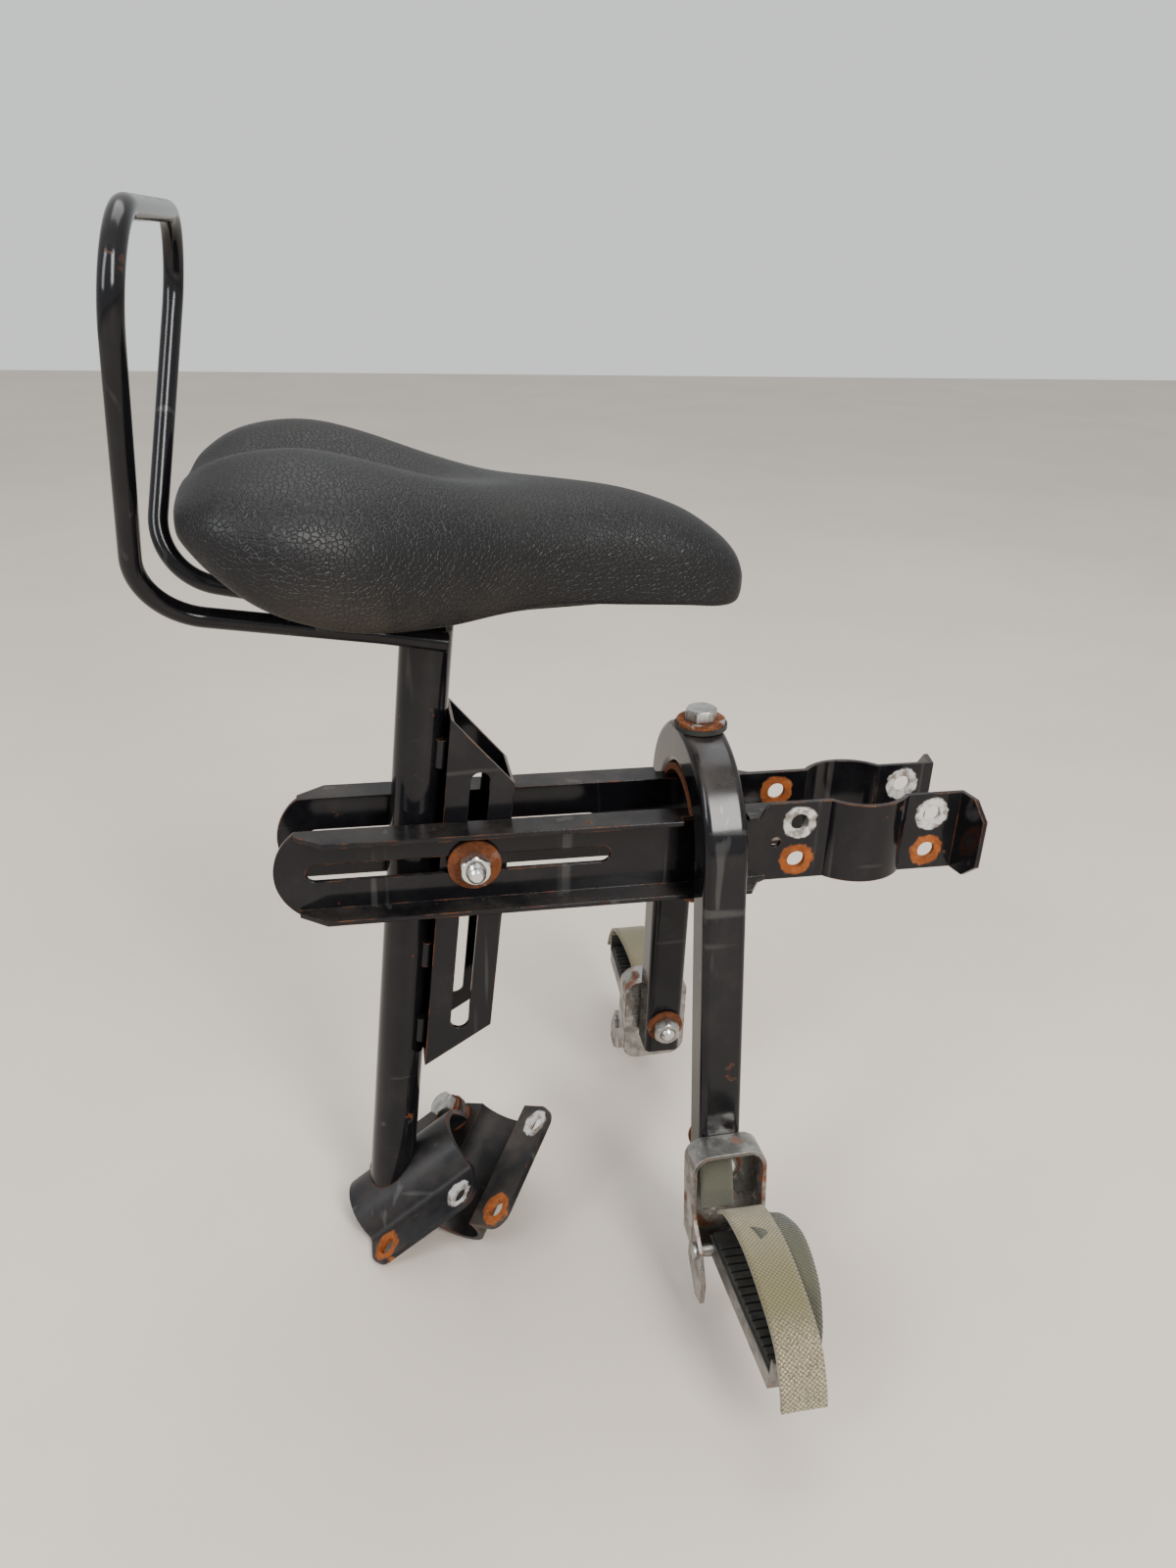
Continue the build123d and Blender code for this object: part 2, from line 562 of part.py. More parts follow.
frame_head = crown_y + rubber_t + washer_t
frame_nut_y = -arm_h / 2 / cos(radians(leg_lean)) - bridge_t - under_gap
with BuildPart() as frame_washers:
    for level in (crown_y + rubber_t, frame_nut_y):
        with BuildSketch(Plane(origin=frame_plane.from_local_coords(Vector(0, level, 0)), z_dir=leg_up)):
            Circle(penny_od / 2 - 1)
            Circle(bolt_clear / 2, mode=Mode.SUBTRACT)
        extrude(amount=washer_t)
frame_washers.part.label = "frame_washers"
export_step(frame_washers.part, "parts/frame_washers.step")

with BuildPart() as frame_bolt:
    with BuildSketch(Plane(origin=frame_plane.from_local_coords(Vector(0, frame_head, 0)), z_dir=leg_up)):
        RegularPolygon(nut_af / 2, 6, major_radius=False)
    extrude(amount=head_h)
    with BuildSketch(Plane(origin=frame_plane.from_local_coords(Vector(0, frame_head, 0)), z_dir=leg_up * -1)):
        Circle(bolt_d / 2)
    extrude(amount=frame_head - frame_nut_y + nut_h + thread_out)
frame_bolt.part.label = "frame_bolt"
export_step(frame_bolt.part, "parts/frame_bolt.step")

with BuildPart() as frame_nut:
    with BuildSketch(Plane(origin=frame_plane.from_local_coords(Vector(0, frame_nut_y, 0)), z_dir=leg_up * -1)):
        RegularPolygon(nut_af / 2, 6, major_radius=False)
        Circle(bolt_d / 2, mode=Mode.SUBTRACT)
    extrude(amount=nut_h)
frame_nut.part.label = "frame_nut"
export_step(frame_nut.part, "parts/frame_nut.step")

# Footrests, one per side
cup_face = leg_out + face_gap
tread_z = pin_z + pedal_skirt / 2
rib_pitch = (pedal_len - 16) / rib_count
strap_routes = {
    "strap_outer": (0.0, ((-9, 13), (1, 22), (27, 28), (56, 25), (72, 19), (81, 8), (85, -1))),
    "strap_inner": (2.5, ((4, 27), (9, 34), (23, 39), (47, 35), (63, 28), (70, 23.5))),
}

for side, name in ((-1, "right"), (1, "left")):

    with BuildPart() as footrest_bracket:
        # pressed cup: back plate on the leg with a rounded wall all round
        with BuildSketch(leg_side(side, cup_face, -cup_below)):
            RectangleRounded(cup_w, cup_h, cup_corner)
        extrude(amount=cup_depth)
        with BuildSketch(leg_side(side, cup_face + cup_wall, -cup_below)):
            RectangleRounded(cup_w - 2 * cup_wall, cup_h - 2 * cup_wall, cup_corner - cup_wall)
        extrude(amount=cup_depth, mode=Mode.SUBTRACT)
        # hinge lugs, and the tongue that reaches out behind the pedal
        for x in (pin_x - cup_w / 2, pin_x + cup_w / 2 - cup_wall):
            with BuildSketch(Plane(origin=(x, 0, 0), x_dir=(0, 1, 0), z_dir=(1, 0, 0))):
                with BuildLine():
                    Polyline(
                        (side * cup_at(cup_face + cup_wall / 2, pin_z + 14), pin_z + 14),
                        (side * cup_at(cup_face + cup_depth, pin_z + 12), pin_z + 12),
                        (side * (pin_y + lug_out), pin_z + 4),
                        (side * (pin_y + lug_out), pin_z - 6),
                        (side * cup_at(cup_face + cup_wall / 2, pin_z - 4), pin_z - 4),
                        close=True,
                    )
                make_face()
            extrude(amount=cup_wall)
        with BuildSketch(Plane(origin=(pin_x - cup_w / 2, 0, 0), x_dir=(0, 1, 0), z_dir=(1, 0, 0))):
            with BuildLine():
                Polyline(
                    (side * (cup_at(cup_face + cup_depth, pin_z) - 4), pin_z + 6),
                    (side * (pin_y + lug_out), pin_z + 3),
                    (side * (pin_y + tongue_out), pin_z - 9),
                    (side * (pin_y + tongue_out), pin_z - 9 - tongue_tip_h),
                    (side * (pin_y + tongue_out - 8), pin_z - 12 - tongue_tip_h),
                    (side * (pin_y - 10), pin_z - 12),
                    close=True,
                )
            make_face()
        extrude(amount=cup_wall)
        with BuildSketch(leg_side(side, cup_face - 1)):
            Circle(bolt_clear / 2)
        extrude(amount=cup_wall + 2, mode=Mode.SUBTRACT)
        with BuildSketch(Plane(origin=(pin_x - cup_w, side * pin_y, pin_z), z_dir=(1, 0, 0))):
            Circle(pin_d / 2)
        extrude(amount=2 * cup_w, mode=Mode.SUBTRACT)
    footrest_bracket.part.label = "footrest_bracket_" + name
    export_step(footrest_bracket.part, "parts/footrest_bracket_" + name + ".step")

    inner_face = leg_inner - face_gap
    with BuildPart() as footrest_bolt:
        # domed head inside the cup, threaded end inside the frame
        with BuildSketch(leg_side(side, cup_face + cup_wall + washer_t)):
            Circle(dome_r)
        extrude(amount=dome_h)
        fillet(footrest_bolt.edges().sort_by(Axis.Y)[0 if side < 0 else -1], dome_edge)
        with BuildSketch(leg_side(side, cup_face + cup_wall + washer_t)):
            Circle(bolt_d / 2)
        extrude(amount=-(cup_face + cup_wall + 2 * washer_t - inner_face + nut_h + thread_out / 3))
    footrest_bolt.part.label = "footrest_bolt_" + name
    export_step(footrest_bolt.part, "parts/footrest_bolt_" + name + ".step")

    with BuildPart() as footrest_washers:
        for out, grow, washer_r in ((cup_face + cup_wall, 1, cup_washer_r), (inner_face, -1, penny_od / 2 - 2)):
            with BuildSketch(leg_side(side, out)):
                Circle(washer_r)
                Circle(bolt_clear / 2, mode=Mode.SUBTRACT)
            extrude(amount=grow * washer_t)
    footrest_washers.part.label = "footrest_washers_" + name
    export_step(footrest_washers.part, "parts/footrest_washers_" + name + ".step")

    with BuildPart() as footrest_nut:
        with BuildSketch(leg_side(side, inner_face - washer_t)):
            RegularPolygon(nut_af / 2, 6, major_radius=False)
            Circle(bolt_d / 2, mode=Mode.SUBTRACT)
        extrude(amount=-nut_h)
    footrest_nut.part.label = "footrest_nut_" + name
    export_step(footrest_nut.part, "parts/footrest_nut_" + name + ".step")

    with BuildPart() as hinge_pin:
        with BuildSketch(Plane(origin=(pin_x - cup_w / 2, side * pin_y, pin_z), z_dir=(1, 0, 0))):
            Circle(pin_d / 2)
        extrude(amount=cup_w)
        for x, direction in ((pin_x - cup_w / 2, -1), (pin_x + cup_w / 2, 1)):
            with BuildSketch(Plane(origin=(x, side * pin_y, pin_z), z_dir=(direction, 0, 0))):
                Circle(pin_head_r)
            extrude(amount=pin_head_h)
    hinge_pin.part.label = "hinge_pin_" + name
    export_step(hinge_pin.part, "parts/hinge_pin_" + name + ".step")

    # pedal: a tapered tray, open below, hinged on the pin and turned up at the tip
    plan = [
        (foot_x - pedal_w_in / 2, side * (pin_y - 4)),
        (foot_x + pedal_w_in / 2, side * (pin_y - 4)),
        (foot_x + pedal_w_out / 2, side * (pin_y + pedal_len)),
        (foot_x - pedal_w_out / 2, side * (pin_y + pedal_len)),
    ]
    with BuildPart() as pedal:
        with BuildSketch(Plane.XY.offset(tread_z - pedal_skirt)):
            Polygon(*plan, align=None)
        extrude(amount=pedal_skirt)
        with BuildSketch(Plane.XY.offset(tread_z - pedal_skirt)):
            with BuildLine():
                Polyline(
                    (foot_x - pedal_w_in / 2 + pedal_t, side * (pin_y - 5)),
                    (foot_x + pedal_w_in / 2 - pedal_t, side * (pin_y - 5)),
                    (foot_x + pedal_w_out / 2 - pedal_t, side * (pin_y + pedal_len - pedal_t)),
                    (foot_x - pedal_w_out / 2 + pedal_t, side * (pin_y + pedal_len - pedal_t)),
                    close=True,
                )
            make_face()
        extrude(amount=pedal_skirt - pedal_t, mode=Mode.SUBTRACT)
        # turned-up tip
        with BuildSketch(Plane.XY.offset(tread_z - pedal_t)):
            with Locations((foot_x, side * (pin_y + pedal_len + pedal_t / 2))):
                Rectangle(pedal_w_out, pedal_t)
        extrude(amount=pedal_lip + pedal_t)
        with BuildSketch(Plane(origin=(pin_x - cup_w, side * pin_y, pin_z), z_dir=(1, 0, 0))):
            Circle(pin_d / 2 + running)
        extrude(amount=2 * cup_w, mode=Mode.SUBTRACT)
    pedal.part.label = "pedal_" + name
    export_step(pedal.part, "parts/pedal_" + name + ".step")

    with BuildPart() as pedal_tread:
        with BuildSketch(Plane.XY.offset(tread_z)):
            with BuildLine():
                Polyline(
                    (foot_x - pedal_w_in / 2 + 1, side * (pin_y - 3)),
                    (foot_x + pedal_w_in / 2 - 1, side * (pin_y - 3)),
                    (foot_x + pedal_w_out / 2 - 1, side * (pin_y + pedal_len - 1)),
                    (foot_x - pedal_w_out / 2 + 1, side * (pin_y + pedal_len - 1)),
                    close=True,
                )
            make_face()
        extrude(amount=tread_t)
        for i in range(rib_count):
            out = 4 + (i + 0.5) * rib_pitch
            share = (out + 3) / (pedal_len + 2)
            width = pedal_w_in - 5 + (pedal_w_out - pedal_w_in) * share
            with BuildSketch(Plane.XY.offset(tread_z + tread_t)):
                with Locations((foot_x, side * (pin_y + out))):
                    Rectangle(width, rib_w)
            extrude(amount=rib_h)
    pedal_tread.part.label = "pedal_tread_" + name
    export_step(pedal_tread.part, "parts/pedal_tread_" + name + ".step")

    # hook-and-loop strap, two layers arched over the pedal
    for strap_name, (shift, route) in strap_routes.items():
        strap_x = foot_x + 2.3 + shift
        with BuildPart() as strap:
            with BuildLine() as strap_line:
                Spline(*[(strap_x, side * (pin_y + out), pin_z + rise) for out, rise in route])
            start = strap_line.line @ 0
            heading = strap_line.line % 0
            with BuildSketch(Plane(origin=start, x_dir=(1, 0, 0), z_dir=heading)):
                Rectangle(strap_w, strap_t)
            sweep()
        strap.part.label = strap_name + "_" + name
        export_step(strap.part, "parts/" + strap_name + "_" + name + ".step")
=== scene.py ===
import math

import bmesh
import bpy
from mathutils import Matrix, Vector


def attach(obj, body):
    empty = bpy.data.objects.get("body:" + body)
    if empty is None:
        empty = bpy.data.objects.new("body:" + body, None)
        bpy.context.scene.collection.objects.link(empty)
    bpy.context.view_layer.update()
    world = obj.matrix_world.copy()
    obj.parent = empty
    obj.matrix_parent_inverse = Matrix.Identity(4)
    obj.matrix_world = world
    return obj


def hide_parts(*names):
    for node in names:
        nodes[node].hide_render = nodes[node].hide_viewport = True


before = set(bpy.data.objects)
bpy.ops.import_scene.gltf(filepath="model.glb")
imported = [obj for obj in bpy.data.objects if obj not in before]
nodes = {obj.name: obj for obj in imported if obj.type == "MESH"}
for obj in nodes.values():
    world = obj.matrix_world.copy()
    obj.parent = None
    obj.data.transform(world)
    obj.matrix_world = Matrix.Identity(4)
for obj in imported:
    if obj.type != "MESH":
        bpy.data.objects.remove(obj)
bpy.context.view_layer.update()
sides = (("right", -1), ("left", 1))
print("frame loaded,", len(nodes), "pieces")

# places that several pieces share, in metres
shared = {
    "boltX": -0.0552,
    "boltZ": 0.219,      # the through bolt
    "legLean": 1.8,
    "legSplay": 5.7,
    "pinY": 0.088,
    "pinZ": 0.041,       # hinge of each pedal
}
boltX, boltZ = shared["boltX"], shared["boltZ"]
lean, splay = math.radians(shared["legLean"]), math.radians(shared["legSplay"])
pinX = boltX + 0.107 + (boltZ - shared["pinZ"]) * math.tan(lean)
pedalX = pinX + 0.002


# studio: camera, floor and soft light
camera = {
    "place": (-0.0961, -0.4579, 0.4707),
    "turn": 11.71,      # degrees from +Y towards +X
    "dip": 25.66,
    "roll": 1.81,
    "lens": 26.14,      # on a 36 mm long side
}


def makeCamera():
    turn, dip, roll = (math.radians(camera[key]) for key in ("turn", "dip", "roll"))
    ahead = Vector((math.sin(turn) * math.cos(dip), math.cos(turn) * math.cos(dip), -math.sin(dip)))
    right = Vector((math.cos(turn), -math.sin(turn), 0))
    above = right.cross(ahead)
    tiltedRight = right * math.cos(roll) + above * math.sin(roll)
    tiltedAbove = above * math.cos(roll) - right * math.sin(roll)
    data = bpy.data.cameras.new("camera")
    data.lens = camera["lens"]
    data.sensor_width = 36
    data.clip_start = 0.01
    item = bpy.data.objects.new("camera", data)
    axes = Matrix((tiltedRight, tiltedAbove, -ahead)).transposed()
    item.matrix_world = Matrix.Translation(camera["place"]) @ axes.to_4x4()
    bpy.context.collection.objects.link(item)
    bpy.context.scene.camera = item


def makeLight(name, place, target, size, power, colour=(1, 1, 1)):
    data = bpy.data.lights.new(name, "AREA")
    data.shape = "RECTANGLE"
    data.size, data.size_y = size
    data.energy = power
    data.color = colour
    item = bpy.data.objects.new(name, data)
    item.location = place
    item.rotation_euler = (Vector(target) - Vector(place)).to_track_quat("-Z", "Y").to_euler()
    bpy.context.collection.objects.link(item)


# shader helpers
def add(tree, kind, settings=None, **values):
    item = tree.nodes.new("ShaderNode" + kind)
    for key, value in (settings or {}).items():
        setattr(item, key, value)
    for key, value in values.items():
        numbered = key[0] == "i" and key[1:].isdigit()
        socket = item.inputs[int(key[1:]) if numbered else key.replace("_", " ")]
        if isinstance(value, bpy.types.NodeSocket):
            tree.links.new(value, socket)
        else:
            socket.default_value = value
    return item


def maths(tree, operation, first, second):
    settings = {"operation": operation, "use_clamp": True}
    return add(tree, "Math", settings, i0=first, i1=second).outputs[0]


def freeMaths(tree, operation, first, second=0.5):      # the same, with no clamp
    return add(tree, "Math", {"operation": operation}, i0=first, i1=second).outputs[0]


def ramp(tree, value, low, high, start=0.0, end=1.0):
    settings = {"interpolation_type": "SMOOTHSTEP"}
    return add(tree, "MapRange", settings, i0=value, i1=low, i2=high, i3=start, i4=end).outputs[0]


def mixColour(tree, factor, first, second):
    item = add(tree, "Mix", {"data_type": "RGBA"})
    for index, value in ((0, factor), (6, first), (7, second)):
        if isinstance(value, bpy.types.NodeSocket):
            tree.links.new(value, item.inputs[index])
        else:
            item.inputs[index].default_value = value if index == 0 else (*value, 1)
    return item.outputs[2]


def mixValue(tree, factor, first, second):
    return add(tree, "Mix", {"data_type": "FLOAT"}, i0=factor, i2=first, i3=second).outputs[0]


def patches(tree, coords, scale, low, high, detail=4.0, stretch=None):
    if stretch:
        coords = add(tree, "Mapping", Vector=coords, Scale=stretch).outputs[0]
    noise = add(tree, "TexNoise", Vector=coords, Scale=scale, Detail=detail, Roughness=0.62).outputs[0]
    return ramp(tree, noise, low, high)


def startMaterial(name):
    material = bpy.data.materials.new(name)
    material.use_nodes = True
    tree = material.node_tree
    coords = add(tree, "TexCoord").outputs["Object"]
    return material, tree, tree.nodes["Principled BSDF"], coords


def finishMaterial(tree, shader, colour, rough, metal=None, height=None,
                   depth=0.0003, strength=0.5, rounded=0.0):
    tree.links.new(colour, shader.inputs["Base Color"])
    tree.links.new(rough, shader.inputs["Roughness"])
    if metal is not None:
        tree.links.new(metal, shader.inputs["Metallic"])
    normal = None
    if rounded:
        normal = add(tree, "Bevel", {"samples": 4}, Radius=rounded).outputs[0]
    if height is not None:
        bump = add(tree, "Bump", Height=height, Distance=depth, Strength=strength)
        if normal is not None:
            tree.links.new(normal, bump.inputs["Normal"])
        normal = bump.outputs[0]
    if normal is not None:
        tree.links.new(normal, shader.inputs["Normal"])


def edgeMask(tree, radius, low=0.01, high=0.10):
    soft = add(tree, "Bevel", {"samples": 6}, Radius=radius).outputs[0]
    plain = add(tree, "NewGeometry").outputs["Normal"]
    along = add(tree, "VectorMath", {"operation": "DOT_PRODUCT"}, i0=soft, i1=plain).outputs["Value"]
    return ramp(tree, maths(tree, "SUBTRACT", 1.0, along), low, high)


def upward(tree, low, high):
    normal = add(tree, "NewGeometry").outputs["Normal"]
    height = add(tree, "SeparateXYZ", i0=normal).outputs[2]
    return ramp(tree, height, low, high)


def ringMask(tree, coords, centre, radius, flat):
    if flat:      # a hole through an arm: the distance across the arm doesn't count
        coords = add(tree, "Mapping", Vector=coords, Scale=(1, 0, 1)).outputs[0]
        centre = (centre[0], 0, centre[2])
    away = add(tree, "VectorMath", {"operation": "DISTANCE"}, i0=coords, i1=centre).outputs["Value"]
    wobble = add(tree, "TexNoise", Vector=coords, Scale=260.0, Detail=3.0).outputs[0]
    uneven = add(tree, "MapRange", i0=wobble, i1=0.3, i2=0.7, i3=-0.0008, i4=0.0008).outputs[0]
    away = maths(tree, "ADD", away, uneven)
    return ramp(tree, away, radius, radius * 0.86)


rustTones = {"dark": (0.085, 0.028, 0.012), "orange": (0.26, 0.080, 0.024), "ochre": (0.24, 0.13, 0.065)}


def rustColour(tree, coords, scale=160.0):
    grain = patches(tree, coords, scale, 0.38, 0.62, 8.0)
    speck = patches(tree, coords, scale * 3.1, 0.52, 0.66, 5.0)
    rust = mixColour(tree, grain, rustTones["dark"], rustTones["orange"])
    return mixColour(tree, speck, rust, rustTones["ochre"])


# black enamel on the steel: gloss, dust, chips, rusty cut edges and washer rings
enamel = {
    "colour": (0.009, 0.009, 0.011),
    "scuffed": (0.016, 0.016, 0.017),
    "dust": (0.085, 0.072, 0.062),
    "gloss": 0.13,
    "bareSteel": (0.50, 0.49, 0.47),
    "ringRust": (0.42, 0.13, 0.035),
    "ringStain": (0.20, 0.17, 0.15),
    "edgeRadius": 0.0009,
    "round": 0.0007,
}


def makeEnamel(name, dust=0.5, edges=0.6, chips=0.5, rings=(), flat=True, gloss=None, tint=None, smear=0.0):
    material, tree, shader, coords = startMaterial(name)
    gloss = enamel["gloss"] if gloss is None else gloss
    scuffs = patches(tree, coords, 45.0, 0.45, 0.75)
    base = mixColour(tree, scuffs, tint or enamel["colour"], enamel["scuffed"])
    scratch = patches(tree, coords, 90.0, 0.64, 0.70, 2.0, (1.0, 1.0, 0.05))
    cross = patches(tree, coords, 70.0, 0.65, 0.71, 2.0, (0.06, 1.0, 1.0))
    scratches = maths(tree, "MAXIMUM", scratch, cross)
    lying = maths(tree, "MULTIPLY", upward(tree, 0.35, 0.95), patches(tree, coords, 38.0, 0.30, 0.72, 6.0))
    settled = maths(tree, "MULTIPLY", lying, dust)
    if smear:
        dirt = maths(tree, "MULTIPLY", patches(tree, coords, 26.0, 0.42, 0.68, 7.0), smear)
        settled = maths(tree, "MAXIMUM", settled, dirt)
    colour = mixColour(tree, settled, base, enamel["dust"])
    colour = mixColour(tree, maths(tree, "MULTIPLY", scratches, 0.10), colour, enamel["bareSteel"])
    rust = rustColour(tree, coords)
    edge = edgeMask(tree, enamel["edgeRadius"])
    worn = maths(tree, "MULTIPLY", edge, patches(tree, coords, 55.0, 0.46, 0.62, 5.0))
    worn = maths(tree, "MULTIPLY", worn, edges)
    spots = maths(tree, "MULTIPLY", patches(tree, coords, 75.0, 0.69, 0.73, 3.0), chips)
    rusty = maths(tree, "MAXIMUM", worn, spots)
    metal = maths(tree, "MULTIPLY", scratches, 0.3)
    colour = mixColour(tree, rusty, colour, rust)
    for centre, radius, kind in rings:
        mask = ringMask(tree, coords, centre, radius, flat)
        if kind == "rust":
            colour = mixColour(tree, mask, colour, mixColour(tree, 0.35, rust, enamel["ringRust"]))
            rusty = maths(tree, "MAXIMUM", rusty, mask)
        else:      # bare zinc left by a washer
            stain = patches(tree, coords, 210.0, 0.42, 0.62)
            bare = mixColour(tree, stain, enamel["bareSteel"], enamel["ringStain"])
            colour = mixColour(tree, mask, colour, bare)
            rusty = maths(tree, "MAXIMUM", rusty, maths(tree, "MULTIPLY", mask, 0.5))
    rough = mixValue(tree, settled, gloss, 0.62)
    rough = mixValue(tree, rusty, rough, 0.85)
    fine = add(tree, "TexNoise", Vector=coords, Scale=420.0, Detail=6.0).outputs[0]
    orange = add(tree, "TexNoise", Vector=coords, Scale=120.0, Detail=1.0).outputs[0]
    height = mixValue(tree, rusty, maths(tree, "MULTIPLY", orange, 0.16), fine)
    finishMaterial(tree, shader, colour, rough, metal, height, 0.0004, 0.35, enamel["round"])
    shader.inputs["Specular IOR Level"].default_value = 0.42
    return material


# bare metals
zinc = {"colour": (0.62, 0.62, 0.60), "dull": (0.33, 0.32, 0.30), "grime": (0.05, 0.05, 0.05), "gloss": 0.28}


def makeZinc(name, rust=0.3, dull=0.5, gloss=None, dark=0.0):
    material, tree, shader, coords = startMaterial(name)
    cloud = maths(tree, "MULTIPLY", patches(tree, coords, 110.0, 0.35, 0.65, 6.0), dull)
    colour = mixColour(tree, cloud, zinc["colour"], zinc["dull"])
    colour = mixColour(tree, dark, colour, zinc["grime"])
    edge = maths(tree, "MULTIPLY", edgeMask(tree, 0.0012), patches(tree, coords, 95.0, 0.42, 0.58, 5.0))
    spots = maths(tree, "MULTIPLY", patches(tree, coords, 62.0, 0.54, 0.66, 7.0), rust)
    rusty = maths(tree, "MAXIMUM", spots, maths(tree, "MULTIPLY", edge, rust))
    colour = mixColour(tree, rusty, colour, rustColour(tree, coords))
    shine = zinc["gloss"] if gloss is None else gloss
    rough = mixValue(tree, rusty, mixValue(tree, cloud, shine, 0.5), 0.85)
    metal = mixValue(tree, rusty, 0.9, 0.1)
    fine = add(tree, "TexNoise", Vector=coords, Scale=500.0, Detail=5.0).outputs[0]
    finishMaterial(tree, shader, colour, rough, metal, fine, 0.0003, 0.3, 0.0006)
    return material


def makeRustySteel(name, bare=0.25, tone=0.5):
    material, tree, shader, coords = startMaterial(name)
    rust = rustColour(tree, coords, 230.0)
    rust = mixColour(tree, tone, rust, (0.13, 0.048, 0.022))
    clean = maths(tree, "MULTIPLY", patches(tree, coords, 150.0, 0.55, 0.68, 5.0), bare)
    colour = mixColour(tree, clean, rust, (0.42, 0.40, 0.38))
    rough = mixValue(tree, clean, 0.88, 0.45)
    metal = mixValue(tree, clean, 0.05, 0.8)
    crust = add(tree, "TexNoise", Vector=coords, Scale=700.0, Detail=8.0, Roughness=0.7).outputs[0]
    finishMaterial(tree, shader, colour, rough, metal, crust, 0.0008, 0.8, 0.0005)
    return material


# soft and moulded materials
vinyl = {
    "colour": (0.011, 0.011, 0.012),
    "worn": (0.021, 0.0205, 0.020),
    "dirt": (0.060, 0.048, 0.036),
    "grain": 520.0,      # cells in a metre
}


def makeVinyl():
    material, tree, shader, coords = startMaterial("saddleVinyl")
    worn = maths(tree, "MULTIPLY", upward(tree, 0.1, 1.0), patches(tree, coords, 22.0, 0.3, 0.75, 6.0))
    colour = mixColour(tree, worn, vinyl["colour"], vinyl["worn"])
    low = ramp(tree, add(tree, "SeparateXYZ", i0=coords).outputs[2], 0.372, 0.340)
    rear = ramp(tree, add(tree, "SeparateXYZ", i0=coords).outputs[0], 0.0, -0.11)
    lowRear = maths(tree, "MULTIPLY", low, rear)
    dirt = maths(tree, "MULTIPLY", lowRear, patches(tree, coords, 30.0, 0.30, 0.65, 7.0))
    colour = mixColour(tree, maths(tree, "MULTIPLY", dirt, 0.6), colour, vinyl["dirt"])
    settings = {"feature": "DISTANCE_TO_EDGE"}
    cells = add(tree, "TexVoronoi", settings, Vector=coords, Scale=vinyl["grain"], Randomness=0.9)
    leather = ramp(tree, cells.outputs[0], 0.0, 0.16)
    pores = add(tree, "TexNoise", Vector=coords, Scale=1500.0, Detail=3.0).outputs[0]
    swell = add(tree, "TexNoise", Vector=coords, Scale=160.0, Detail=3.0).outputs[0]
    height = maths(tree, "ADD", maths(tree, "MULTIPLY", leather, 0.45), maths(tree, "MULTIPLY", pores, 0.25))
    height = maths(tree, "ADD", height, maths(tree, "MULTIPLY", swell, 0.25))
    rough = mixValue(tree, maths(tree, "MAXIMUM", worn, dirt), 0.42, 0.60)
    finishMaterial(tree, shader, colour, rough, None, height, 0.0004, 0.9)
    shader.inputs["Specular IOR Level"].default_value = 0.45
    return material


def makeMoulded(name, colour, rough):
    material, tree, shader, coords = startMaterial(name)
    paler = tuple(min(1.0, part * 1.9 + 0.008) for part in colour)
    tone = mixColour(tree, patches(tree, coords, 60.0, 0.35, 0.7, 6.0), colour, paler)
    dusty = maths(tree, "MULTIPLY", upward(tree, 0.5, 1.0), patches(tree, coords, 80.0, 0.35, 0.75, 6.0))
    tone = mixColour(tree, maths(tree, "MULTIPLY", dusty, 0.35), tone, (0.12, 0.105, 0.085))
    fine = add(tree, "TexNoise", Vector=coords, Scale=900.0, Detail=4.0).outputs[0]
    finishMaterial(tree, shader, tone, mixValue(tree, dusty, rough, 0.8), None, fine, 0.0002, 0.5)
    return material


webbing = {
    "pale": (0.42, 0.35, 0.235),
    "olive": (0.20, 0.17, 0.075),
    "speckle": (0.09, 0.085, 0.055),
    "deep": (0.042, 0.044, 0.026),
    "moss": (0.075, 0.074, 0.042),
    "width": 0.020,
    "thread": 0.0011,      # pitch of the weave
}


def makeWebbing(name, first, second, speckled, length):
    material, tree, shader, coords = startMaterial(name)
    uv = add(tree, "TexCoord").outputs["UV"]
    across, along = add(tree, "SeparateXYZ", i0=uv).outputs[:2]
    warp = freeMaths(tree, "MULTIPLY", across, webbing["width"] / webbing["thread"] * math.pi)
    weft = freeMaths(tree, "MULTIPLY", along, length / webbing["thread"] * math.pi)
    crossing = freeMaths(tree, "MULTIPLY", freeMaths(tree, "SINE", warp), freeMaths(tree, "SINE", weft))
    weave = ramp(tree, crossing, -0.6, 0.6)
    fuzz = add(tree, "TexNoise", Vector=coords, Scale=1400.0, Detail=6.0).outputs[0]
    tone = mixColour(tree, ramp(tree, along, 0.10, 0.55), first, second)
    tone = mixColour(tree, ramp(tree, along, 0.62, 0.78), tone, first)
    stains = maths(tree, "MULTIPLY", patches(tree, coords, 130.0, 0.35, 0.7, 6.0), 0.35)
    tone = mixColour(tree, stains, tone, second)
    dark = maths(tree, "MULTIPLY", maths(tree, "SUBTRACT", 1.0, weave), 0.75)
    colour = mixColour(tree, dark, tone, webbing["speckle"])
    flecks = maths(tree, "MULTIPLY", ramp(tree, fuzz, 0.50, 0.60), speckled)
    far = ramp(tree, along, 0.60, 0.72)
    colour = mixColour(tree, maths(tree, "MULTIPLY", flecks, far), colour, webbing["speckle"])
    height = maths(tree, "ADD", maths(tree, "MULTIPLY", weave, 0.6), maths(tree, "MULTIPLY", fuzz, 0.4))
    rough = mixValue(tree, weave, 0.98, 0.88)
    finishMaterial(tree, shader, colour, rough, None, height, 0.0006, 0.9)
    shader.inputs["Sheen Weight"].default_value = 0.3
    shader.inputs["Sheen Roughness"].default_value = 0.6
    return material


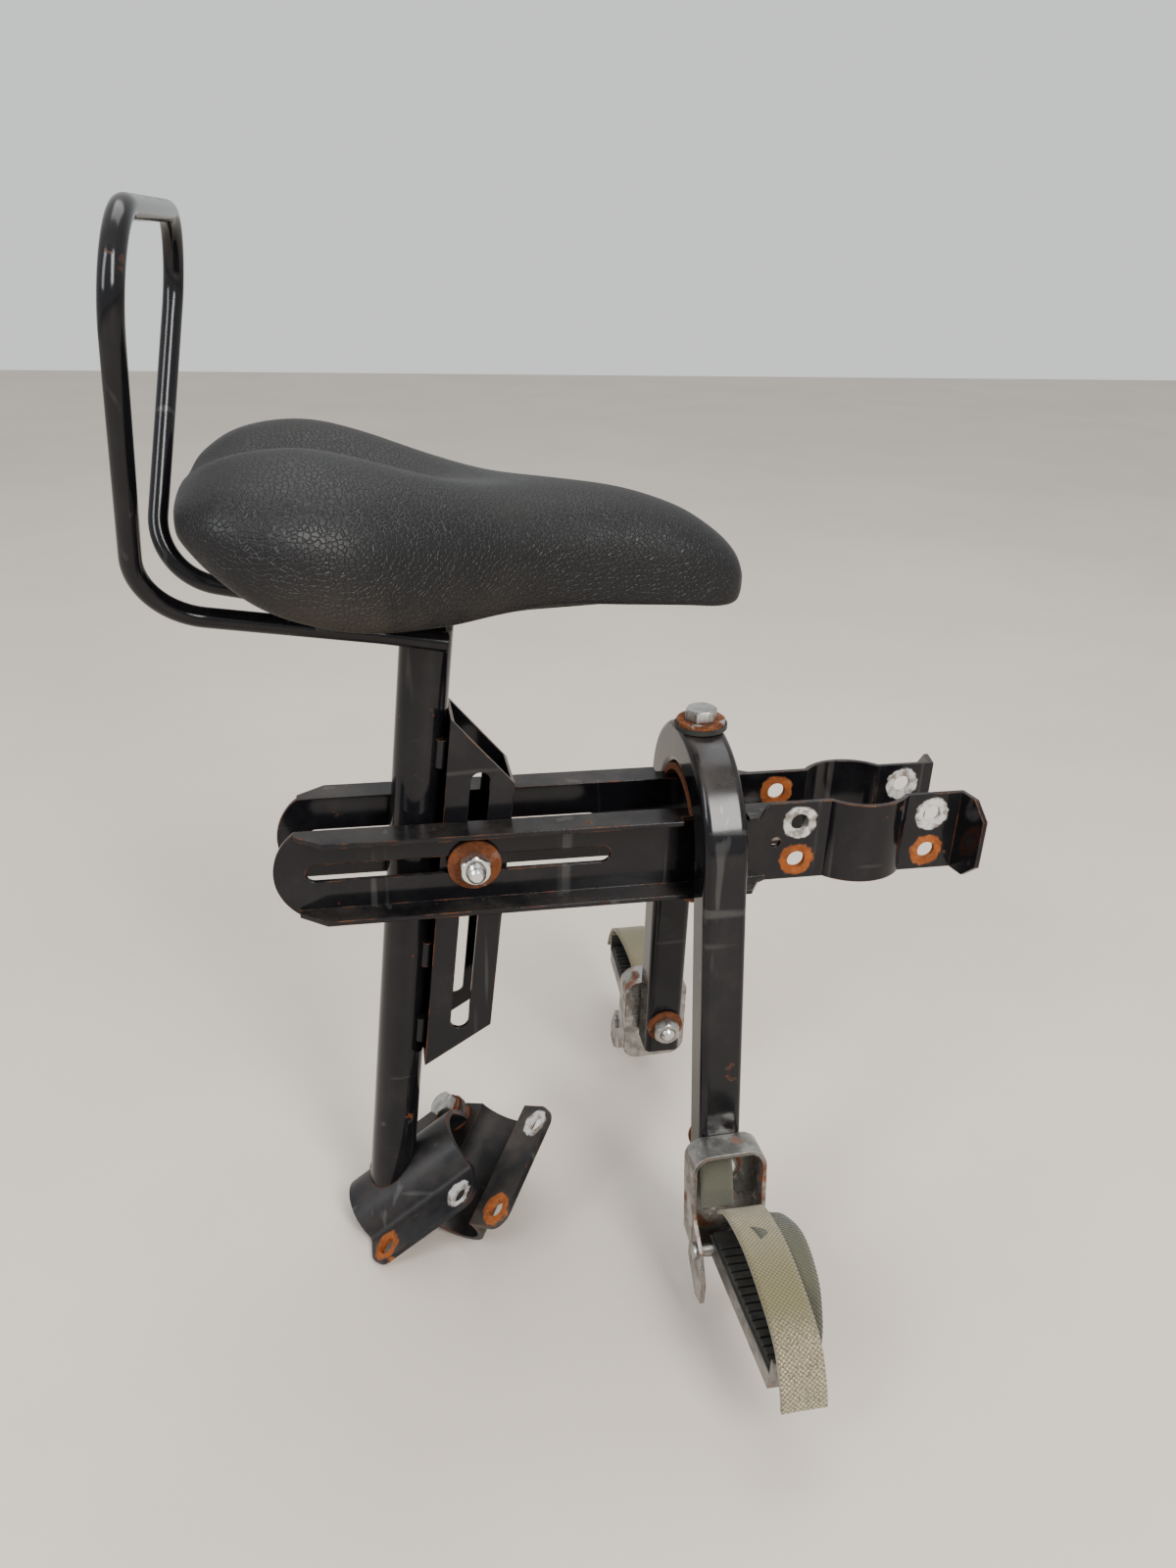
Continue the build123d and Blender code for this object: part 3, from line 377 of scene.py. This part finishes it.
# mesh helpers
def newPiece(name, bm, material, body, stands, smooth=True):
    mesh = bpy.data.meshes.new(name)
    bmesh.ops.recalc_face_normals(bm, faces=bm.faces)
    bm.to_mesh(mesh)
    bm.free()
    item = bpy.data.objects.new(name, mesh)
    mesh.materials.append(material)
    mesh.polygons.foreach_set("use_smooth", [smooth] * len(mesh.polygons))
    if smooth:
        mesh.set_sharp_from_angle(angle=math.radians(38))
    bpy.context.collection.objects.link(item)
    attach(item, body)
    if stands:
        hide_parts(*stands)
    return item


def axesAt(place, axis):
    turned = Vector(axis).normalized().to_track_quat("Z", "Y").to_matrix().to_4x4()
    return Matrix.Translation(place) @ turned


def addRings(bm, rings, where, closed=True):
    rows = [[bm.verts.new(where @ Vector(point)) for point in ring] for ring in rings]
    count = len(rows[0])
    for lower, upper in zip(rows, rows[1:]):
        for i in range(count):
            j = (i + 1) % count
            bm.faces.new((lower[i], lower[j], upper[j], upper[i]))
    if closed:
        bm.faces.new(rows[0][::-1])
        bm.faces.new(rows[-1])
    return rows


def addLathe(bm, profile, where, segments=40):
    turns = [2 * math.pi * i / segments for i in range(segments)]
    rings = []
    for radius, height in profile:
        rings.append([(radius * math.cos(a), radius * math.sin(a), height) for a in turns])
    addRings(bm, rings, where)


def addHex(bm, where, across, height, hole=0.0):
    steps = 60
    flat = across / 2
    outline = []
    for i in range(steps):
        angle = 2 * math.pi * i / steps
        part = (angle + math.pi / 6) % (math.pi / 3) - math.pi / 6
        outline.append((angle, flat / math.cos(part)))

    def ring(reach, level):
        return [(reach(r) * math.cos(a), reach(r) * math.sin(a), level(r)) for a, r in outline]

    rings = [
        ring(lambda r: min(r, flat * 0.96), lambda r: 0.0),
        ring(lambda r: r, lambda r: 0.0003),
        ring(lambda r: r, lambda r: height - 0.0004 - 0.55 * (r - flat)),
        ring(lambda r: min(r, flat * 0.97), lambda r: height),
    ]
    if hole:
        rings.append(ring(lambda r: hole + 0.0005, lambda r: height))
        rings.append(ring(lambda r: hole, lambda r: height - 0.0005))
        rings.append(ring(lambda r: hole, lambda r: 0.0))
        rings.append(rings[0])
        rows = addRings(bm, rings, where, False)
        bmesh.ops.remove_doubles(bm, verts=rows[0] + rows[-1], dist=1e-6)
    else:
        rings.insert(4, ring(lambda r: flat * 0.5, lambda r: height - 0.0002))
        addRings(bm, rings, where)


def threadedShaft(radius, plainEnd, end, pitch=0.00125):
    profile = [(radius - 0.0004, 0.0), (radius, 0.0005), (radius, plainEnd)]
    height = plainEnd
    while height + pitch < end - 0.001:
        profile += [(radius - 0.0006, height + pitch * 0.5), (radius, height + pitch)]
        height += pitch
    profile += [(radius - 0.0006, end - 0.0008), (radius - 0.0016, end)]
    return profile


print("helpers ready")

makeCamera()
stage = {"floor": (0.62, 0.56, 0.50), "wall": (0.80, 0.81, 0.81), "glow": 0.85}
floorMesh = bpy.data.meshes.new("floor")
floorMesh.from_pydata([(-4, -4, 0), (4, -4, 0), (4, 4, 0), (-4, 4, 0)], [], [(0, 1, 2, 3)])
floor = bpy.data.objects.new("floor", floorMesh)
floorPaint, floorTree, floorShader, floorCoords = startMaterial("paleFloor")
worn = tuple(part * 0.94 for part in stage["floor"])
tone = mixColour(floorTree, patches(floorTree, floorCoords, 3.0, 0.3, 0.7), stage["floor"], worn)
finishMaterial(floorTree, floorShader, tone, mixValue(floorTree, 0.5, 0.55, 0.6))
floorMesh.materials.append(floorPaint)
bpy.context.collection.objects.link(floor)
makeLight("window", (0.55, -1.5, 1.35), (0.05, 0, 0.2), (0.55, 1.2), 30, (1.0, 0.98, 0.95))
makeLight("side", (-1.3, -0.9, 1.3), (0, 0, 0.3), (0.45, 1.1), 14, (0.95, 0.97, 1.0))
makeLight("above", (0.1, 0.5, 1.9), (0, 0, 0.2), (1.3, 1.0), 12)
world = bpy.data.worlds.new("studio")
world.use_nodes = True
world.node_tree.nodes["Background"].inputs["Color"].default_value = (*stage["wall"], 1)
world.node_tree.nodes["Background"].inputs["Strength"].default_value = stage["glow"]
bpy.context.scene.world = world
bpy.context.scene.view_settings.look = "AgX - Medium High Contrast"
print("studio ready")


# saddle: cross-sections from the tail to the nose, as distances from the through bolt
saddle = {
    # x, half width, rim height, top of the lobes, depth of the groove
    "sections": (
        (-104.5, 38.0, 374.5, 384.5, 1.0),
        (-102.0, 56.0, 373.0, 390.0, 3.0),
        (-91.0, 70.0, 364.0, 398.5, 10.0),
        (-76.0, 76.0, 353.5, 403.5, 17.0),
        (-58.0, 76.5, 346.5, 404.5, 18.0),
        (-38.0, 71.5, 342.0, 400.5, 16.0),
        (-12.0, 57.0, 339.5, 393.0, 9.0),
        (12.0, 43.0, 340.0, 387.0, 3.5),
        (36.0, 33.0, 340.0, 383.5, 1.0),
        (64.0, 26.5, 337.5, 379.0, 0.0),
        (88.0, 22.5, 335.5, 371.5, 0.0),
        (104.0, 18.0, 333.5, 362.0, 0.0),
        (113.0, 12.5, 334.0, 353.5, 0.0),
        (117.0, 5.5, 337.5, 345.5, 0.0),
    ),
    "stations": 72,
    "topSteps": 21,
    "sideSteps": 6,
    "widest": 0.30,      # share of the height where the side stands out most
    "tuck": 0.085,       # how far the side turns in again below
    "grooveWidth": 21.0,
    "underside": 338.2,
}


def smoothRow(rows, share):
    place = share * (len(rows) - 1)
    index = min(int(place), len(rows) - 2)
    t = place - index
    before, start, end, after = (rows[max(0, min(len(rows) - 1, index + k))] for k in (-1, 0, 1, 2))
    return [
        0.5 * (2 * b + (c - a) * t + (2 * a - 5 * b + 4 * c - d) * t * t + (3 * b - a - 3 * c + d) * t ** 3)
        for a, b, c, d in zip(before, start, end, after)
    ]


def saddleLoop(x, half, rim, top, groove):
    widest = rim + saddle["widest"] * (top - rim)
    right = []
    for i in range(saddle["topSteps"] + 1):      # from the middle to the widest line
        turn = math.pi / 2 * i / saddle["topSteps"]
        y = half * math.sin(turn) ** 0.92
        z = widest + (top - widest) * math.cos(turn) ** 0.72
        z -= groove * math.exp(-(y / saddle["grooveWidth"]) ** 2)
        right.append((y, z))
    for i in range(1, saddle["sideSteps"] + 1):      # in again to the rim
        turn = math.pi / 2 * i / saddle["sideSteps"]
        y = half * (1 - saddle["tuck"] * (1 - math.cos(turn)))
        right.append((y, widest - (widest - rim) * math.sin(turn)))
    lip = right[-1][0]
    under = max(saddle["underside"], rim + 1.0)
    right.append((lip * 0.965, rim - 0.6))
    right.append((lip * 0.93, rim + 1.2))
    for share in (0.75, 0.5, 0.25, 0.0):
        right.append((lip * share, under + (rim + 1.2 - under) * share ** 2))
    loop = right + [(-y, z) for y, z in reversed(right[1:-1])]
    return [(boltX + x / 1000, y / 1000, z / 1000) for y, z in loop]


def makeSaddle(material):
    bm = bmesh.new()
    rings = []
    for i in range(saddle["stations"]):
        rings.append(saddleLoop(*smoothRow(saddle["sections"], i / (saddle["stations"] - 1))))
    rows = addRings(bm, rings, Matrix.Identity(4), False)
    for corners, shift in ((rows[0], -0.0008), (rows[-1], 0.0012)):      # tail and nose close to a point
        middle = sum((corner.co for corner in corners), Vector()) / len(corners)
        pole = bm.verts.new(middle + Vector((shift, 0, 0)))
        for k, corner in enumerate(corners):
            bm.faces.new((corner, corners[(k + 1) % len(corners)], pole))
    piece = newPiece("saddlePad", bm, material, "post", ("saddle_cover",))
    soft = piece.modifiers.new("smooth", "SUBSURF")
    soft.levels = soft.render_levels = 1


makeSaddle(makeVinyl())
print("saddle ready")

# washer rings on the arms' clamp holes: how far from the through bolt, and what the washer left
clampHoles = {
    "radius": 0.0088,
    "places": ((0.1515, 0.0095), (0.1515, -0.010), (0.2175, 0.0095), (0.2175, -0.010)),
    "right": ("zinc", "rust", "zinc", "rust"),
    "left": ("rust", "zinc", "zinc", "rust"),
}
armPaint = {}
for name, side in sides:
    marks = zip(clampHoles["places"], clampHoles[name])
    rings = [((boltX + x, 0, boltZ + z), clampHoles["radius"], kind) for (x, z), kind in marks]
    armPaint[name] = makeEnamel("armEnamel" + name.title(), dust=0.55, edges=0.9, chips=0.5, rings=rings)

# down tube clamp: a fixed shell and its cap, each with an ear at every corner
shell = {
    "slope": 38.5,
    "capOpen": 48,
    "back": 0.0285,      # middle of the split face, behind the through bolt
    "halfLength": 0.033,
    "halfPitch": 0.0235,
    "halfSpan": 0.031,      # of the ears' holes, along and across
    "gap": 0.006,
    "thickness": 0.003,
    "washer": 0.0018,
}
slope, capSwing = math.radians(shell["slope"]), math.radians(shell["capOpen"])
tubeAlong = Vector((math.cos(slope), 0, math.sin(slope)))
tubeUp = Vector((-math.sin(slope), 0, math.cos(slope)))
shellMiddle = Vector((boltX - shell["back"], 0, shell["halfLength"] * math.sin(slope)))
clampPoint = shellMiddle + tubeAlong * shell["halfPitch"] + Vector((0, shell["halfSpan"], 0))
capAlong = tubeAlong * math.cos(capSwing) + Vector((0, math.sin(capSwing), 0))
capAcross = Vector((0, math.cos(capSwing), 0)) - tubeAlong * math.sin(capSwing)


def earPlaces(middle, along, across):
    pitch, span = along * shell["halfPitch"], across * shell["halfSpan"]
    return {(a, b): middle + pitch * a + span * b for a in (-1, 1) for b in (-1, 1)}


shellEars = earPlaces(shellMiddle, tubeAlong, Vector((0, 1, 0)))
capCorner = clampPoint - tubeUp * shell["gap"]
capMiddle = capCorner - capAlong * shell["halfPitch"] - capAcross * shell["halfSpan"]
capEars = earPlaces(capMiddle, capAlong, capAcross)
earMarks = (((-1, -1), "rust"), ((1, -1), "zinc"), ((-1, 1), "rust"))
shellRings = [(shellEars[ear], size, kind) for (ear, kind), size in zip(earMarks, (0.0088, 0.0082, 0.0085))]
capRings = [(capEars[ear], size, kind) for (ear, kind), size in zip(earMarks, (0.0088, 0.0075, 0.0085))]
shellPaint = makeEnamel("shellEnamel", dust=0.6, edges=1.0, chips=0.8, flat=False, gloss=0.33,
                        tint=(0.012, 0.014, 0.018), smear=0.35, rings=shellRings)
capPaint = makeEnamel("capEnamel", dust=0.7, edges=1.0, chips=0.7, flat=False, gloss=0.4, smear=0.75,
                      rings=capRings)
postPaint = makeEnamel("postEnamel", dust=0.3, edges=0.9, chips=0.8)
hoopPaint = makeEnamel("hoopEnamel", dust=0.25, edges=0.0, chips=0.35, flat=False,
                       rings=[(Vector((boltX - 0.108, -0.079, 0.471)), 0.0065, "rust")])
framePaint = makeEnamel("frameEnamel", dust=0.6, edges=0.35, chips=0.25)
hardware = makeZinc("zincHardware", rust=0.35, dull=0.8, dark=0.25)
brightNut = makeZinc("brightNut", rust=0.1, dull=0.2, gloss=0.2)
cupZinc = makeZinc("cupZinc", rust=0.9, dull=0.9, gloss=0.2, dark=0.35)
pedalZinc = makeZinc("pedalZinc", rust=0.35, dull=0.7, dark=0.55)
redRust = makeRustySteel("washerRust", bare=0.2, tone=0.6)
bridgeRust = makeRustySteel("bridgeRust", bare=0.1, tone=0.65)
greyWasher = makeRustySteel("greyWasher", bare=0.95, tone=0.3)
rubber = makeMoulded("treadRubber", (0.022, 0.023, 0.021), 0.62)
mouldedBase = makeMoulded("mouldedBase", (0.012, 0.012, 0.012), 0.5)
finishes = {
    armPaint["right"]: ("arm_right",), armPaint["left"]: ("arm_left",),
    postPaint: ("seat_post", "height_bracket", "post_welds", "seat_plate"),
    hoopPaint: ("backrest_hoop",), framePaint: ("footrest_frame",),
    shellPaint: ("tube_saddle",), capPaint: ("tube_cap",),
    redRust: ("through_washers", "clamp_washers", "footrest_washers_right", "footrest_washers_left"),
    bridgeRust: ("bridge_strap", "bridge_plate"), greyWasher: ("frame_washers",),
    hardware: ("saddle_screws", "spacer_tube", "hinge_pin_right", "hinge_pin_left"),
    cupZinc: ("footrest_bracket_right", "footrest_bracket_left"),
    pedalZinc: ("pedal_right", "pedal_left"),
    rubber: ("frame_rubber",), mouldedBase: ("saddle_base",),
}
for material, names in finishes.items():
    for name in names:
        nodes[name].data.materials.clear()
        nodes[name].data.materials.append(material)
print("steel parts finished")

# bolts and nuts: M8, a 13 mm hexagon, threads where the bolt shows
bolts = {
    "across": 0.013, "head": 0.0053, "nut": 0.0065, "radius": 0.004,
    "pastNut": 0.0115,      # the nut and the thread beyond it
    "armWeb": 0.0155 + 0.0022,      # outer face of each arm
    "washer": 0.0018, "clearance": 0.0001,
    "frameTop": 0.272, "legForward": 0.107, "tube": 0.020, "rubber": 0.002,
    "bridge": 0.003, "underGap": 0.0026,
}


def makeBolt(name, stands, start, axis, length, threadFrom, body, material):
    bm = bmesh.new()
    where = axesAt(start, axis)
    addHex(bm, axesAt(start, -Vector(axis)), bolts["across"], bolts["head"])
    addLathe(bm, threadedShaft(bolts["radius"], threadFrom, length), where)
    return newPiece(name, bm, material, body, (stands,))


def makeNut(name, stands, start, axis, body, material):
    bm = bmesh.new()
    addHex(bm, axesAt(start, axis), bolts["across"], bolts["nut"], bolts["radius"])
    return newPiece(name, bm, material, body, (stands,))


throughFace = bolts["armWeb"] + bolts["clearance"] + bolts["washer"]
makeBolt("throughBolt", "through_bolt", (boltX, throughFace, boltZ), (0, -1, 0),
         2 * throughFace + bolts["pastNut"], 2 * throughFace - 0.004, "bolt_carriage", brightNut)
makeNut("throughNut", "through_nut", (boltX, -throughFace, boltZ), (0, -1, 0), "bolt_carriage", brightNut)
legUp = Vector((-math.sin(lean), 0, math.cos(lean)))
legFore = Vector((math.cos(lean), 0, math.sin(lean)))
frameFoot = Vector((boltX + bolts["legForward"], 0, boltZ))
crownHeight = (bolts["frameTop"] - boltZ) / math.cos(lean)
frameHead = crownHeight + bolts["rubber"] + bolts["washer"]
nutLevel = -bolts["tube"] / math.cos(lean) - bolts["bridge"] - bolts["underGap"]
makeBolt("frameBolt", "frame_bolt", frameFoot + legUp * frameHead, -legUp,
         frameHead - nutLevel + bolts["pastNut"], 0.05, "arms", hardware)
makeNut("frameNut", "frame_nut", frameFoot + legUp * nutLevel, -legUp, "arms", hardware)
clampHead = clampPoint + tubeUp * (shell["thickness"] + shell["washer"])
below = shell["gap"] + shell["thickness"] + bolts["clearance"]
clampLength = shell["thickness"] + 2 * shell["washer"] + below + bolts["nut"] + 0.0016
makeBolt("clampBolt", "clamp_bolt", clampHead, -tubeUp, clampLength, 0.014, "post", hardware)
makeNut("clampNut", "clamp_nut", clampPoint - tubeUp * (below + shell["washer"]), -tubeUp, "post", hardware)
print("bolts ready")

# footrests
footrest = {
    "legMiddle": 0.040, "legInner": 0.030, "legOuter": 0.050, "splayStart": -0.006, "boltHeight": 0.071,
    "cupWall": 0.002, "washer": 0.0018, "domeRadius": 0.0075, "domeHeight": 0.0044,
    "pedalLength": 0.071, "widthIn": 0.024, "widthOut": 0.017,
    "treadHeight": 0.0455, "treadThickness": 0.0026,
    "ribs": 14, "ribShare": 0.80, "strapWidth": 0.020, "strapThickness": 0.0018, "strapColumns": 8,
    "tabWidth": 0.016, "threadFrom": 0.026,
    "outerForward": 0.0023, "innerForward": 0.0025, "tabBack": 0.0065,      # from the pedal, the strap, the pin
    # distance outwards and height from the hinge, and forward of the strap's line, in millimetres
    "outerRoute": ((-9, 13, 0), (1, 22, 0), (27, 28, 0), (56, 25, 0), (72, 19, 0), (81, 8, 0), (85, -1, 0)),
    "innerRoute": ((3, 20, 1), (10, 24.5, 4), (24, 27.5, 7), (44, 25, 6), (58, 19.5, 3), (65, 15.5, 0.5)),
    "tabRoute": ((-19, 42, 0), (-14.5, 35, 0), (-10.5, 26, 0), (-8, 18.5, 0)),
}


def makeRibTree(material):
    tree = bpy.data.node_groups.new("treadRibs", "GeometryNodeTree")
    tree.interface.new_socket("Geometry", in_out="OUTPUT", socket_type="NodeSocketGeometry")
    for name, kind in (("Count", "NodeSocketInt"), ("Start", "NodeSocketVector"), ("Step", "NodeSocketVector"),
                       ("Size", "NodeSocketVector"), ("Taper", "NodeSocketFloat")):
        tree.interface.new_socket(name, in_out="INPUT", socket_type=kind)
    entry, leave = tree.nodes.new("NodeGroupInput"), tree.nodes.new("NodeGroupOutput")
    line = tree.nodes.new("GeometryNodeMeshLine")
    tree.links.new(entry.outputs["Count"], line.inputs["Count"])
    tree.links.new(entry.outputs["Start"], line.inputs["Start Location"])
    tree.links.new(entry.outputs["Step"], line.inputs["Offset"])
    block = tree.nodes.new("GeometryNodeMeshCube")
    tree.links.new(entry.outputs["Size"], block.inputs["Size"])
    spread = tree.nodes.new("GeometryNodeInstanceOnPoints")
    tree.links.new(line.outputs[0], spread.inputs["Points"])
    tree.links.new(block.outputs[0], spread.inputs["Instance"])
    index = tree.nodes.new("GeometryNodeInputIndex")
    share = tree.nodes.new("ShaderNodeMath")
    share.operation = "MULTIPLY"
    tree.links.new(index.outputs[0], share.inputs[0])
    tree.links.new(entry.outputs["Taper"], share.inputs[1])
    width = tree.nodes.new("ShaderNodeMath")
    width.operation = "SUBTRACT"
    width.inputs[0].default_value = 1.0
    tree.links.new(share.outputs[0], width.inputs[1])
    scale = tree.nodes.new("ShaderNodeCombineXYZ")
    tree.links.new(width.outputs[0], scale.inputs[0])
    scale.inputs[1].default_value = scale.inputs[2].default_value = 1.0
    tree.links.new(scale.outputs[0], spread.inputs["Scale"])
    real = tree.nodes.new("GeometryNodeRealizeInstances")
    tree.links.new(spread.outputs[0], real.inputs[0])
    paint = tree.nodes.new("GeometryNodeSetMaterial")
    paint.inputs["Material"].default_value = material
    tree.links.new(real.outputs[0], paint.inputs["Geometry"])
    tree.links.new(paint.outputs[0], leave.inputs[0])
    return tree


def bakeNodes(name, tree, values):
    holder = bpy.data.objects.new(name, bpy.data.meshes.new(name))
    bpy.context.collection.objects.link(holder)
    modifier = holder.modifiers.new("nodes", "NODES")
    modifier.node_group = tree
    for socket in tree.interface.items_tree:
        if socket.in_out == "INPUT" and socket.name in values:
            modifier[socket.identifier] = values[socket.name]
    bpy.context.view_layer.update()
    graph = bpy.context.evaluated_depsgraph_get()
    mesh = bpy.data.meshes.new_from_object(holder.evaluated_get(graph))
    bpy.data.objects.remove(holder)
    return mesh


def makeTread(name, side, tree):
    inner, outer = shared["pinY"] - 0.003, shared["pinY"] + footrest["pedalLength"] - 0.001
    low, high = footrest["treadHeight"], footrest["treadHeight"] + footrest["treadThickness"]
    bm = bmesh.new()
    corners = []
    for z in (low, high):
        for y, half in ((inner, footrest["widthIn"] / 2 - 0.001), (outer, footrest["widthOut"] / 2 - 0.001)):
            corners += [bm.verts.new((pedalX - half, side * y, z)), bm.verts.new((pedalX + half, side * y, z))]
    for face in ((0, 1, 3, 2), (4, 5, 7, 6), (0, 1, 5, 4), (2, 3, 7, 6), (0, 2, 6, 4), (1, 3, 7, 5)):
        bm.faces.new([corners[i] for i in face])
    pitch = (footrest["pedalLength"] - 0.010) / footrest["ribs"]
    ribs = bakeNodes("ribs", tree, {
        "Count": footrest["ribs"],
        "Start": (pedalX, side * (shared["pinY"] + 0.004 + pitch / 2), high + 0.0005),
        "Step": (0.0, side * pitch, 0.0),
        "Size": (footrest["widthIn"] - 0.003, pitch * footrest["ribShare"], 0.0015),
        "Taper": (1 - footrest["widthOut"] / footrest["widthIn"]) / footrest["ribs"],
    })
    bm.from_mesh(ribs)
    piece = newPiece("tread_" + name, bm, rubber, "footrest_" + name,
                     ("pedal_tread_" + name,), False)
    soft = piece.modifiers.new("edge", "BEVEL")
    soft.width, soft.segments, soft.limit_method = 0.0004, 2, "ANGLE"


def smoothPath(points, parts=10):
    rows = [list(point) for point in points]
    total = (len(rows) - 1) * parts
    return [smoothRow(rows, i / total) for i in range(total + 1)]


def makeBand(name, side, route, middle, width, material, body, stands):
    path = [
        Vector((middle + forward / 1000, side * (shared["pinY"] + out / 1000), shared["pinZ"] + rise / 1000))
        for out, rise, forward in smoothPath(route)
    ]
    bm = bmesh.new()
    layer = bm.loops.layers.uv.new("weave")
    length = sum((b - a).length for a, b in zip(path, path[1:]))
    rows, shares, run = [], [], 0.0
    columns = footrest["strapColumns"]
    for i, point in enumerate(path):
        if i:
            run += (point - path[i - 1]).length
        shares.append(run / length)
        ahead = (path[min(i + 1, len(path) - 1)] - path[max(i - 1, 0)]).normalized()
        outward = ahead.cross(Vector((side, 0, 0))).normalized()
        sideways = outward.cross(ahead).normalized() * side
        row = []
        for k in range(columns + 1):
            across = k / columns - 0.5
            lift = outward * (0.0006 * (0.25 - across * across))      # a slight crown
            row.append(bm.verts.new(point + sideways * (across * width) + lift))
        rows.append(row)
    for i in range(len(rows) - 1):
        for k in range(columns):
            face = bm.faces.new((rows[i][k], rows[i][k + 1], rows[i + 1][k + 1], rows[i + 1][k]))
            spots = ((k, i), (k + 1, i), (k + 1, i + 1), (k, i + 1))
            for loop, (u, v) in zip(face.loops, spots):
                loop[layer].uv = (u / columns, shares[v])
    piece = newPiece(name, bm, material, body, stands)
    solid = piece.modifiers.new("thickness", "SOLIDIFY")
    solid.thickness, solid.offset = footrest["strapThickness"], 0.0


def makeFootrestBolt(name, side):
    outward = Vector((0, side * math.cos(splay), 0)) + legUp * math.sin(splay)
    drop = (footrest["boltHeight"] - boltZ) / math.cos(lean)
    half = footrest["legMiddle"] + (footrest["splayStart"] - drop) * math.tan(splay)
    centre = frameFoot + legUp * drop + Vector((0, side * half, 0))
    toOuter = footrest["legOuter"] - footrest["legMiddle"]
    toInner = footrest["legInner"] - footrest["legMiddle"]
    headAt = toOuter + bolts["clearance"] + footrest["cupWall"] + footrest["washer"]
    nutAt = toInner - bolts["clearance"] - footrest["washer"]
    radius, rise = footrest["domeRadius"], footrest["domeHeight"]
    turns = [math.radians(angle) for angle in range(0, 85, 12)]
    dome = [(radius - 0.0004, 0.0), (radius, 0.0005)]
    dome += [(radius * math.cos(a), 0.0009 + (rise - 0.0009) * math.sin(a)) for a in turns]
    shaftLength = headAt - nutAt + bolts["nut"] + 0.0016
    bm = bmesh.new()
    addLathe(bm, dome, axesAt(centre + outward * headAt, outward))
    shaft = threadedShaft(bolts["radius"], footrest["threadFrom"], shaftLength)
    addLathe(bm, shaft, axesAt(centre + outward * headAt, -outward))
    body = "bracket_" + name
    newPiece("footrestBolt_" + name, bm, brightNut, body, ("footrest_bolt_" + name,))
    makeNut("footrestNut_" + name, "footrest_nut_" + name, centre + outward * nutAt, -outward, body, hardware)


ribTree = makeRibTree(rubber)
outerWeb = makeWebbing("outerWebbing", webbing["pale"], webbing["olive"], 0.9, 0.125)
innerWeb = makeWebbing("innerWebbing", webbing["deep"], webbing["moss"], 0.4, 0.085)
outerLine = pedalX + footrest["outerForward"]
innerLine = outerLine + footrest["innerForward"]
tabLine = pinX - footrest["tabBack"]
for name, side in sides:
    width = footrest["strapWidth"]
    makeTread(name, side, ribTree)
    makeBand("outerStrap_" + name, side, footrest["outerRoute"], outerLine, width, outerWeb,
             "footrest_" + name, ("strap_outer_" + name,))
    makeBand("innerStrap_" + name, side, footrest["innerRoute"], innerLine, width, innerWeb,
             "footrest_" + name, ("strap_inner_" + name,))
    makeBand("strapTab_" + name, side, footrest["tabRoute"], tabLine, footrest["tabWidth"], innerWeb,
             "bracket_" + name, ())
    makeFootrestBolt(name, side)
print("footrests ready")
